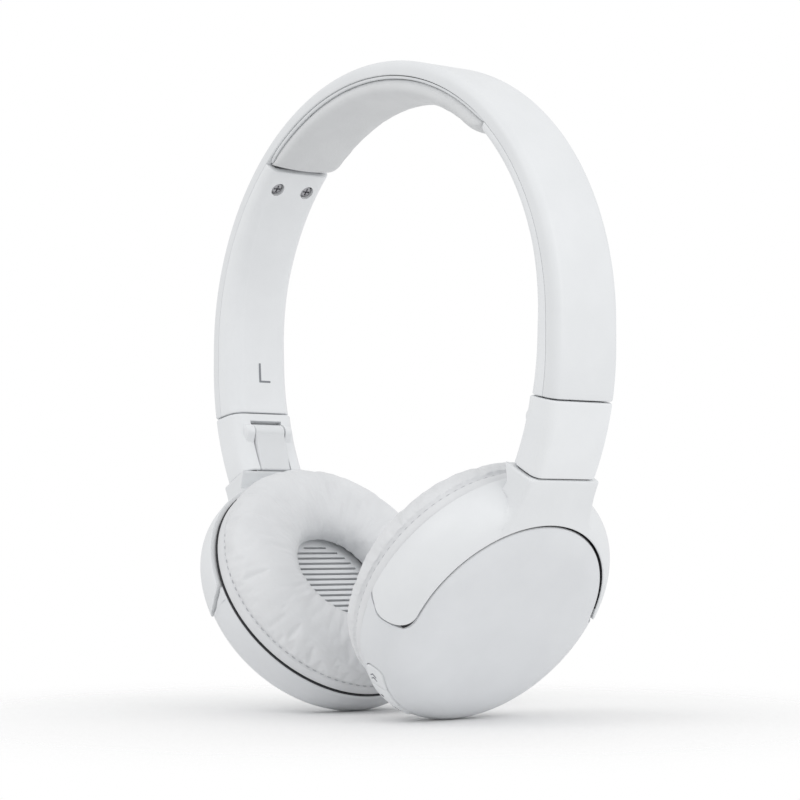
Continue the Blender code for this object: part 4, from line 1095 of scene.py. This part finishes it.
def stem():
    """Flat-faced stem that widens towards the cup, flows onto the fork plate and ends along its arc."""
    half_top, half_base = STEM_TOP_WIDTH / 2 - STEM_EDGE, STEM_BASE_WIDTH / 2 - STEM_EDGE
    outer_top = STEM_DEPTH / 2 - STEM_INSET
    top = stem_top(outer_top)
    trim = ARC_RADIUS + STEM_TRIM
    side_run, side_sink = STEM_EDGE * sin(STEM_EDGE_TURN), STEM_EDGE * (1 - cos(STEM_EDGE_TURN))
    columns = stem_columns()
    fronts, backs = [], []
    for run in STEM_TOP_RUNS + spread(0.0, 1.0, 40)[3:]:
        half = half_top + (half_base - half_top) * run ** STEM_SPREAD
        soft = EDGE * (1.0 - sqrt(1.0 - max(0.0, 1.0 - run / STEM_SOFT_RUN) ** 2))
        front, back = [], []
        for number, (share, turn, flank) in enumerate(columns):
            on_flank = flank > 0.0 or number in (FLANK_STEPS, len(columns) - 1 - FLANK_STEPS)
            side = share if abs(share) == 1.0 else 0.0
            past = side_run + STEM_FLARE * flank if on_flank else STEM_EDGE * sin(turn)
            base_y = share * half_base + side * past
            base_up = -ARC_DROP + sqrt(trim ** 2 - base_y ** 2)
            base_out = dome_height(sqrt(base_y ** 2 + base_up ** 2), -PLATE_PROUD)
            up = top + run * (base_up - top)
            if on_flank:
                over_cup = CUP_RIM_RADIUS + FLARE_START - sqrt((half + side_run) ** 2 + up ** 2)
                ease = min(1.0, max(0.0, over_cup / FLARE_EASE))
                past = side_run + STEM_FLARE * flank * ease * ease * (3 - 2 * ease)
            y = (share * half + side * past) * (1.0 - soft / half)
            out = outer_top + (base_out - outer_top) * run - soft
            if on_flank:
                edge = out - side_sink
                out = stem_flank(edge, flank, y, stem_lean(up, stem_flank(edge, flank, y, up), run))
            elif side:
                out -= STEM_EDGE * (1 - cos(turn))
            front.append((out, y, stem_lean(up, out, run)))
        for share in spread(-1.0, 1.0, len(columns) - 1):
            y = share * (front[-1][1] - EDGE)
            base_y = share * (half_base + side_run + STEM_FLARE)
            up = top + run * (-ARC_DROP + sqrt(trim ** 2 - base_y ** 2) - top)
            floor = stem_floor(y, stem_lean(up, stem_floor(y, up), run)) + soft
            back.append((floor, y, stem_lean(up, floor, run)))
        fronts.append(front)
        backs.append(back)
    return slab_solid(fronts, backs)


def recess_span(angle):
    """First and last turn of the recess floor at an angle, and whether it runs out through the seam."""
    low, high = fork_span(angle, RECESS_GAP, RECESS_DEPTH)
    return max(low, SEAM_TURN), high, low <= SEAM_TURN


def shell_profile(angle):
    """Outer face of the cup at an angle, from its seam to its flat face, with the fork's recess."""
    rim = [(CUP_SEAM_RADIUS - CUP_EDGE, SEAM), (CUP_SEAM_RADIUS, SEAM + CUP_EDGE)]
    if abs(angle) >= fork_reach(RECESS_GAP):
        for start, end, steps in PLAIN_RUNS:
            rim += [dome(turn, 0.0) for turn in spread(start * pi, end * pi, steps)]
        return rim
    floor_low, floor_high, through = recess_span(angle)
    ledge, wall = dome(floor_low, RECESS_DEPTH)[1], dome(floor_high, RECESS_DEPTH)[0]
    high = dome_turn(0.0, lambda radius, height: radius <= wall)
    if through:
        floor = CUP_RIM_RADIUS - RECESS_DEPTH
        rim = [(radius, SEAM) for radius in spread(CUP_MOUTH, floor, 12)[1:-1]]
        rim.append((floor - RECESS_STEP, SEAM))
    else:
        low = dome_turn(0.0, lambda radius, height: height >= ledge)
        first = min(SEAM_TURN + RIM_TURN, low - LEDGE_TURN)
        rim += [dome(turn, 0.0) for turn in spread(first, low - LEDGE_TURN / 4, 8)]
    profile = rim + [dome(turn, RECESS_DEPTH) for turn in spread(floor_low, floor_high, 10)]
    profile.append(dome(high, CUP_EDGE))
    soft = CUP_EDGE / (FACE - SHOULDER)
    return profile + [dome(turn, 0.0) for turn in spread(high + soft, pi / 2, 14)]


def recess_shade_profile(angle):
    """Profile of the dark sheet of painted shade on the recess's floor and up its wall at the cup's face."""
    low, high, _ = recess_span(angle)
    wall, foot = dome(high, RECESS_DEPTH)
    head = max(dome_height(wall, 0.0) - SHADE_SHEET_SETBACK, foot + 2 * SHADE_SHEET)
    profile = [dome(turn, RECESS_DEPTH - SHADE_SHEET) for turn in spread(low, high, 12)[:-1]]
    profile += [(wall + SHADE_SHEET, height) for height in spread(foot + SHADE_SHEET, head, 4)]
    profile += [(wall + SHADE_SHEET / 4, height) for height in spread(head, foot + SHADE_SHEET / 4, 4)]
    return profile + [dome(turn, RECESS_DEPTH - SHADE_SHEET / 4) for turn in spread(high, low, 12)[1:]]


def arc_shade_profile(angle):
    """Profile of the dark sheet of painted shade on the fork's edge along its arc, set back from its outer
    face.
    """
    edge, top = dome(fork_span(angle, 0.0, -PLATE_PROUD)[1], -PLATE_PROUD)
    foot = dome(fork_span(angle, 0.0, PLATE_THICKNESS)[1], PLATE_THICKNESS)[1]
    heights = spread(foot, top - PLATE_ROUNDING, 4)
    profile = [(edge - SHADE_SHEET, height) for height in heights]
    return profile + [(edge + SHADE_SHEET, height) for height in heights[::-1]]


def pad_seam_shade_profile(_):
    """Profile of the dark ring of painted shade set back in the seam between cup and pad, the same all round.
    """
    inner, outer, lip = (CUP_SEAM_RADIUS - back for back in SEAM_SHADE_BACK)
    near, far = SEAM - HAIRLINE / 4, PAD_LIP + HAIRLINE / 2
    profile = [(inner, near), (lip, near), (lip, near - HAIRLINE)]
    return profile + [(outer, near - HAIRLINE), (outer, far), (inner, far)]


def cup_shell():
    """Bowl of the cup with its flat face closed by rings."""
    reach = fork_reach(RECESS_GAP)
    angles = fork_angles(reach, FORK_STEPS) + spread(reach, 2 * pi - reach, 110)[1:-1]
    face = [(CUP_FLAT_RADIUS * share, FACE) for share in FACE_RINGS]
    columns = [cup_ring(SHELL_INNER + shell_profile(angle) + face, angle) for angle in angles]
    return ring_solid([list(ring) for ring in zip(*columns)])


def button_point(angle, height, radius):
    return height, -radius * sin(angle), -radius * cos(angle)


def button_outline(first, last, grow):
    """Outline in (angle, height) of buttons first to last of the row of three, round at the row's ends."""
    half = BUTTON_HEIGHT / 2 + grow
    extra = (grow - BUTTON_GAP / 2) / CUP_RIM_RADIUS
    low = BUTTON_MIDDLE + BUTTON_SPAN * (first - 1.5) - extra
    high = BUTTON_MIDDLE + BUTTON_SPAN * (last - 0.5) + extra
    ends, starts = [], []
    for edge, side, is_round in ((low, -1.0, first == 0), (high, 1.0, last == 2)):
        bend = half / CUP_RIM_RADIUS if is_round else 0.0
        start = edge - side * bend
        ends.append([(start + side * bend * cos(turn), BUTTON_LEVEL + side * half * sin(turn))
                     for turn in spread(pi / 2, -pi / 2, 20 if is_round else 1)])
        starts.append(start)
    runs = spread(*starts, 8 * (last - first + 1))[1:-1]
    outline = ends[0] + [(run, BUTTON_LEVEL + half) for run in runs] + ends[1]
    return outline + [(run, BUTTON_LEVEL - half) for run in runs[::-1]]


def shrunk(outline, amount):
    """Outline in (angle, height) drawn in on all sides."""
    angles = [angle for angle, _ in outline]
    middle = (min(angles) + max(angles)) / 2
    wide = (max(angles) - min(angles)) / 2 * CUP_RIM_RADIUS
    across, along = 1 - amount / wide, 1 - amount / (BUTTON_HEIGHT / 2)
    return [(middle + (angle - middle) * across, BUTTON_LEVEL + (height - BUTTON_LEVEL) * along)
            for angle, height in outline]


def button(number):
    """Push button with rounded edges, following the cup's side."""
    outline = button_outline(number, number, 0.0)
    rings = [[button_point(angle, height, BUTTON_ROOT) for angle, height in outline]]
    for amount, proud in BUTTON_RINGS:
        rings.append([button_point(angle, height, side_radius(height) + proud)
                      for angle, height in shrunk(outline, amount)])
    return ring_solid(rings)


def button_symbol(number):
    """Raised strokes of a play symbol: chevrons towards an end of the row, or a dot."""
    middle = BUTTON_MIDDLE + BUTTON_SPAN * (number - 1)
    flats = []
    if number == 1:
        flats.append(arc((0.0, 0.0), DOT_RADIUS, 0.0, 2 * pi, 16)[:-1])
    else:
        aim = -1.0 if number == 0 else 1.0
        for shift in CHEVRON_SHIFTS:
            tip, back = shift + CHEVRON_TIP, shift - CHEVRON_BACK
            for tall in (CHEVRON_HALF, -CHEVRON_HALF):
                flats.append([(aim * tip, 0.0), (aim * back, tall),
                              (aim * (back - CHEVRON_STROKE), tall), (aim * (tip - CHEVRON_STROKE), 0.0)])

    def symbol_point(across, up, lift):
        height = BUTTON_LEVEL + up
        radius = side_radius(height) + BUTTON_PROUD + lift
        return button_point(middle + across / CUP_RIM_RADIUS, height, radius)

    return printed(flats, symbol_point, SYMBOL_LIFTS)


def button_hole():
    outline = button_outline(0, 2, BUTTON_GAP)
    return ring_solid([[button_point(angle, height, radius) for angle, height in outline]
                       for radius in (BUTTON_ROOT - HOLE_REACH, CUP_RIM_RADIUS + HOLE_REACH)])


def socket_hole():
    """Rounded opening in front of the charging socket."""
    high, wide = SOCKET_SIZE[0] / 2, SOCKET_SIZE[1] / 2
    corner = SOCKET_ROUNDNESS * high
    outline = []
    for x, y, start in ((1, 1, 0.0), (-1, 1, pi / 2), (-1, -1, pi), (1, -1, 1.5 * pi)):
        outline += arc((x * (high - corner), y * (wide - corner)), corner, start, start + pi / 2, 8)
    rings = [[(SOCKET_LEVEL + x, y, -radius) for x, y in outline]
             for radius in (CUP_RIM_RADIUS - SOCKET_DEPTH, CUP_RIM_RADIUS + HOLE_REACH)]
    return moved(ring_solid(rings), Matrix.Rotation(SOCKET_ANGLE, 4, "X"))


def make_cups():
    plain_shell = cup_shell()
    fork_solid = joined([fork_plate(), stem()])
    recess_angles = fork_angles(fork_reach(RECESS_GAP) - SHADE_SHEET_SHORT, SHADE_SHEET_STEPS)
    arc_angles = fork_angles(fork_reach(0.0) - TIP_ROUNDING, SHADE_SHEET_STEPS)
    # Dark sheets of painted shade in the fork's recess, in the seam between cup and pad, and along the fork's
    # arc
    painted_shades = (("recess_painted_shade", "cup", cup_solid(recess_angles, recess_shade_profile)),
               ("pad_seam_painted_shade", "cup", cup_solid(around(120), pad_seam_shade_profile, closed=True)),
               ("arc_painted_shade", "fork", cup_solid(arc_angles, arc_shade_profile)))
    for side in SIDES:
        shell = plain_shell
        if side == "right":
            shell = combine(shell, joined([button_hole(), socket_hole()]), "DIFFERENCE")
        cup = cup_piece("cup", shell, "shell", "cup", side, CUP_CREASE)
        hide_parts(f"cup_shell_{side}")
        fork = cup_piece("fork", fork_solid, "fork", "fork", side, FORK_CREASE)
        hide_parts(f"yoke_{side}")
        for name, body, solid in painted_shades:
            # Each sheet of painted shade rides on its cup or fork
            cup_piece(name, solid, "gap_shade", body, side)
    for number, label in enumerate(("forward", "play", "back")):
        body = f"button_{label}"
        cap = piece(f"button_cap_{label}", moved(button(number), CUP_FRAME), "button", body)
        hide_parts(f"button_{label}")
        symbol = moved(button_symbol(number), CUP_FRAME)
        piece(f"button_symbol_{label}", symbol, "icon", body)


# ---- Ear pads ----


def pad_form(share):
    """Radius and height of the padded ring, from the seam over the crown to the foot of the hole."""
    middle, half = (PAD_RADIUS + PAD_HOLE_RADIUS) / 2, (PAD_RADIUS - PAD_HOLE_RADIUS) / 2
    waist = PAD_STITCH - PAD_SEAM_WIDTH
    turn = PAD_TURN_START * pi - share * PAD_TURN * pi
    power = 2 / PAD_ROUNDNESS
    sideways, endways = cos(turn), sin(turn)
    drop = PAD_SEAM_WIDTH if endways > 0 and sideways > 0 else waist - SEAM + PAD_DEPTH
    radius = middle + half * abs(sideways) ** power * (1 if sideways > 0 else -1)
    height = waist + drop * abs(endways) ** power * (1 if endways > 0 else -1)
    return radius, min(height, PAD_STITCH)


def pad_profile(angle):
    """Section of the pad at an angle: plain skirt, drawn-in seam, then the crown about the ear hole."""
    pucker = PUCKER_DEPTH * noise.noise(Vector((cos(angle), sin(angle), 0.0)) * PUCKERS)
    profile = [(PAD_HOLE_RADIUS + PAD_FOOT, PAD_BASE), (PAD_RING_EDGE, PAD_BASE), (PAD_RING_EDGE, PAD_LIP)]
    profile += [(PAD_RADIUS - SKIRT_EASE, PAD_LIP), (PAD_RADIUS - LIP_EASE[0], PAD_LIP - LIP_EASE[1])]
    for share in spread(0.15, 0.95, 6):
        profile.append((PAD_RADIUS + pucker * share - SKIRT_EASE * share ** 6, PAD_LIP - PAD_SKIRT * share))
    profile.append((PAD_RADIUS - PAD_SEAM_DEPTH, PAD_STITCH))
    return profile + [pad_form(share) for share in spread(0.0, 1.0, PAD_ROWS)]


def settled_cover(solid, held):
    """Points of a cover after a cloth simulation: cut too large, held in places and blown up."""
    scene = bpy.context.scene
    item = new_object("cover", solid_mesh("cover", solid))
    item.vertex_groups.new(name="held").add(held, 1.0, "REPLACE")
    cloth = item.modifiers.new("cloth", "CLOTH")
    cloth.collision_settings.use_collision = False
    settings = cloth.settings
    settings.quality = CLOTH_QUALITY
    settings.bending_stiffness = CLOTH_BENDING
    settings.vertex_group_mass = "held"
    settings.use_pressure = True
    settings.uniform_pressure_force = CLOTH_PRESSURE
    settings.shrink_min = settings.shrink_max = -CLOTH_GROWTH
    settings.effector_weights.gravity = 0.0
    for number in range(1, CLOTH_FRAMES + 1):
        scene.frame_set(number)
    graph = bpy.context.evaluated_depsgraph_get()
    points = [vertex.co.copy() for vertex in item.evaluated_get(graph).data.vertices]
    bpy.data.objects.remove(item, do_unlink=True)
    scene.frame_set(1)
    return points


def ear_pad():
    """Padded ring whose cover gathers into folds, with most of its even swelling taken back."""
    angles = around(PAD_COLUMNS)
    columns = [[Vector(point) for point in cup_ring(pad_profile(angle), angle)] for angle in angles]
    rows = len(columns[0])
    free = range(rows - PAD_ROWS, rows - 1)
    rings = []
    for angle, column in zip(angles, columns):
        place = Vector((cos(angle), sin(angle), 0.0)) * DENTS
        ring = []
        for row, point in enumerate(column):
            lift = DENT_DEPTH * noise.noise(place + Vector((0.0, 0.0, DENT_ROW * row))) * (row in free)
            ring.append((point - Vector((lift, 0.0, 0.0))) * CLOTH_SCALE)
        rings.append(ring)
    held = [number for number in range(rows * len(angles)) if number % rows not in free]
    settled = [point / CLOTH_SCALE for point in settled_cover(ring_solid(rings, closed=True), held)]
    outward = [Vector((0.0, sin(angle), cos(angle))) for angle in angles]
    for row in free:
        moves = [settled[number * rows + row] - column[row] for number, column in enumerate(columns)]
        swell = sum(move.dot(out) for move, out in zip(moves, outward)) / len(angles)
        rise = sum(move.x for move in moves) / len(angles)
        for column, move, out in zip(columns, moves, outward):
            column[row] += move - CLOTH_EVENED * (swell * out + Vector((rise, 0.0, 0.0)))
    return ring_solid(columns, closed=True)


def pad_stitches():
    """Row of thread stitches in the seam of the pad."""
    solids = []
    reach = STITCH_SHARE * 2 * pi / STITCHES
    for middle in around(STITCHES):
        rings = []
        for share, thick in STITCH_FORM:
            out = PAD_RADIUS - STITCH_SINK - STITCH_DIP * share ** 4
            ring = arc((out, PAD_STITCH), STITCH_RADIUS * thick, 0.0, 2 * pi, 8)[:-1]
            rings.append(cup_ring(ring, middle + share * reach))
        solids.append(ring_solid(rings))
    return joined(solids)


def make_pads():
    pad, stitches = ear_pad(), pad_stitches()
    for side in SIDES:
        item = cup_piece("pad", pad, "pad", "cup", side, PAD_CREASE)
        smooth = item.modifiers.new("smooth", "SUBSURF")
        smooth.levels = smooth.render_levels = 1
        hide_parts(f"ear_pad_{side}")
        cup_piece("pad_stitches", stitches, "thread", "cup", side)


def dress_nodes():
    """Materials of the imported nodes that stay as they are."""
    finishes = {
        "inner": ("cushion_carrier", "slide_guide", "baffle", "pad_ring"),
        "screw": ("arm_screw", "cup_screw"),
        "steel": ("slider_blade", "fold_pin", "swivel_lock_pin", "pivot_pin", "charging_socket"),
        "dark": ("driver",),
        "cloth": ("diaphragm",),
        "grille": ("grille",),
        "board": ("circuit_board",),
        "foil": ("battery",),
    }
    for name, item in nodes.items():
        for finish, starts in finishes.items():
            if name.startswith(starts):
                item.data.materials.clear()
                item.data.materials.append(MATERIALS[finish])


# ---- Stage ----


def make_floor():
    """Pale floor that fades into the white surroundings away from the object."""
    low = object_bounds()[0][2]
    half = FLOOR_HALF
    corners = [(-half, -half, low), (half, -half, low), (half, half, low), (-half, half, low)]
    mesh = bpy.data.meshes.new("floor")
    mesh.from_pydata(corners, [], [(0, 1, 2, 3)])
    floor = new_object("floor", mesh)
    material = new_material("floor_white", (0.90, 0.90, 0.90), 0.7)
    place = add_node(material, "ShaderNodeTexCoord")
    length = add_node(material, "ShaderNodeVectorMath")
    length.operation = "LENGTH"
    fade = add_node(material, "ShaderNodeMapRange", **{"From Min": FLOOR_FADE[0], "From Max": FLOOR_FADE[1]})
    fade.interpolation_type = "SMOOTHSTEP"
    clear = add_node(material, "ShaderNodeBsdfTransparent")
    blend = add_node(material, "ShaderNodeMixShader")
    given = material.node_tree.nodes
    link(material,
         (place.outputs["Object"], length.inputs[0]),
         (length.outputs["Value"], fade.inputs["Value"]),
         (fade.outputs["Result"], blend.inputs["Fac"]),
         (given["Principled BSDF"].outputs["BSDF"], blend.inputs[1]),
         (clear.outputs["BSDF"], blend.inputs[2]),
         (blend.outputs["Shader"], given["Material Output"].inputs["Surface"]))
    mesh.materials.append(material)


def make_world():
    """White surroundings to the eye, softer as a light."""
    world = bpy.data.worlds.new("studio")
    bpy.context.scene.world = world
    world.use_nodes = True
    world.node_tree.nodes.clear()
    path = add_node(world, "ShaderNodeLightPath")
    seen = add_node(world, "ShaderNodeMath")
    seen.operation = "MAXIMUM"
    light, white = (add_node(world, "ShaderNodeBackground", Color=(1.0, 1.0, 1.0, 1.0), Strength=strength)
                    for strength in (WORLD_LIGHT, 1.0))
    mix = add_node(world, "ShaderNodeMixShader")
    output = add_node(world, "ShaderNodeOutputWorld")
    link(world,
         (path.outputs["Is Camera Ray"], seen.inputs[0]),
         (path.outputs["Is Transmission Ray"], seen.inputs[1]),
         (seen.outputs["Value"], mix.inputs["Fac"]),
         (light.outputs["Background"], mix.inputs[1]),
         (white.outputs["Background"], mix.inputs[2]),
         (mix.outputs["Shader"], output.inputs["Surface"]))


def add_light(name, azimuth, elevation, distance, size, power):
    """Square soft light aimed at the object, placed by angles as the camera is."""
    data = bpy.data.lights.new(name, "AREA")
    data.size = size
    data.energy = power
    new_object(name, data).matrix_world = aimed(azimuth, elevation, distance)


def aimed(azimuth, elevation, distance):
    """Matrix of a camera or lamp that looks at the aim point from an azimuth and elevation."""
    away = Vector((sin(azimuth) * cos(elevation), -cos(azimuth) * cos(elevation), sin(elevation)))
    rotation = away.to_track_quat("Z", "Y").to_matrix().to_4x4()
    return Matrix.Translation(AIM + away * distance) @ rotation


def make_camera():
    data = bpy.data.cameras.new("camera")
    data.lens = VIEW_LENS
    data.sensor_width = VIEW_SENSOR
    data.clip_start = VIEW_NEAR
    camera = new_object("camera", data)
    camera.matrix_world = aimed(VIEW_AZIMUTH, VIEW_ELEVATION, VIEW_DISTANCE)
    bpy.context.scene.camera = camera


make_headband()
make_cushion()
make_marks()
make_cups()
make_pads()
dress_nodes()
make_floor()
make_world()
make_camera()
for name, turn, elevation, distance, size, power in LIGHTS:
    add_light(name, VIEW_AZIMUTH + radians(turn), radians(elevation), distance, size, power)
bpy.context.scene.view_settings.view_transform = "Standard"
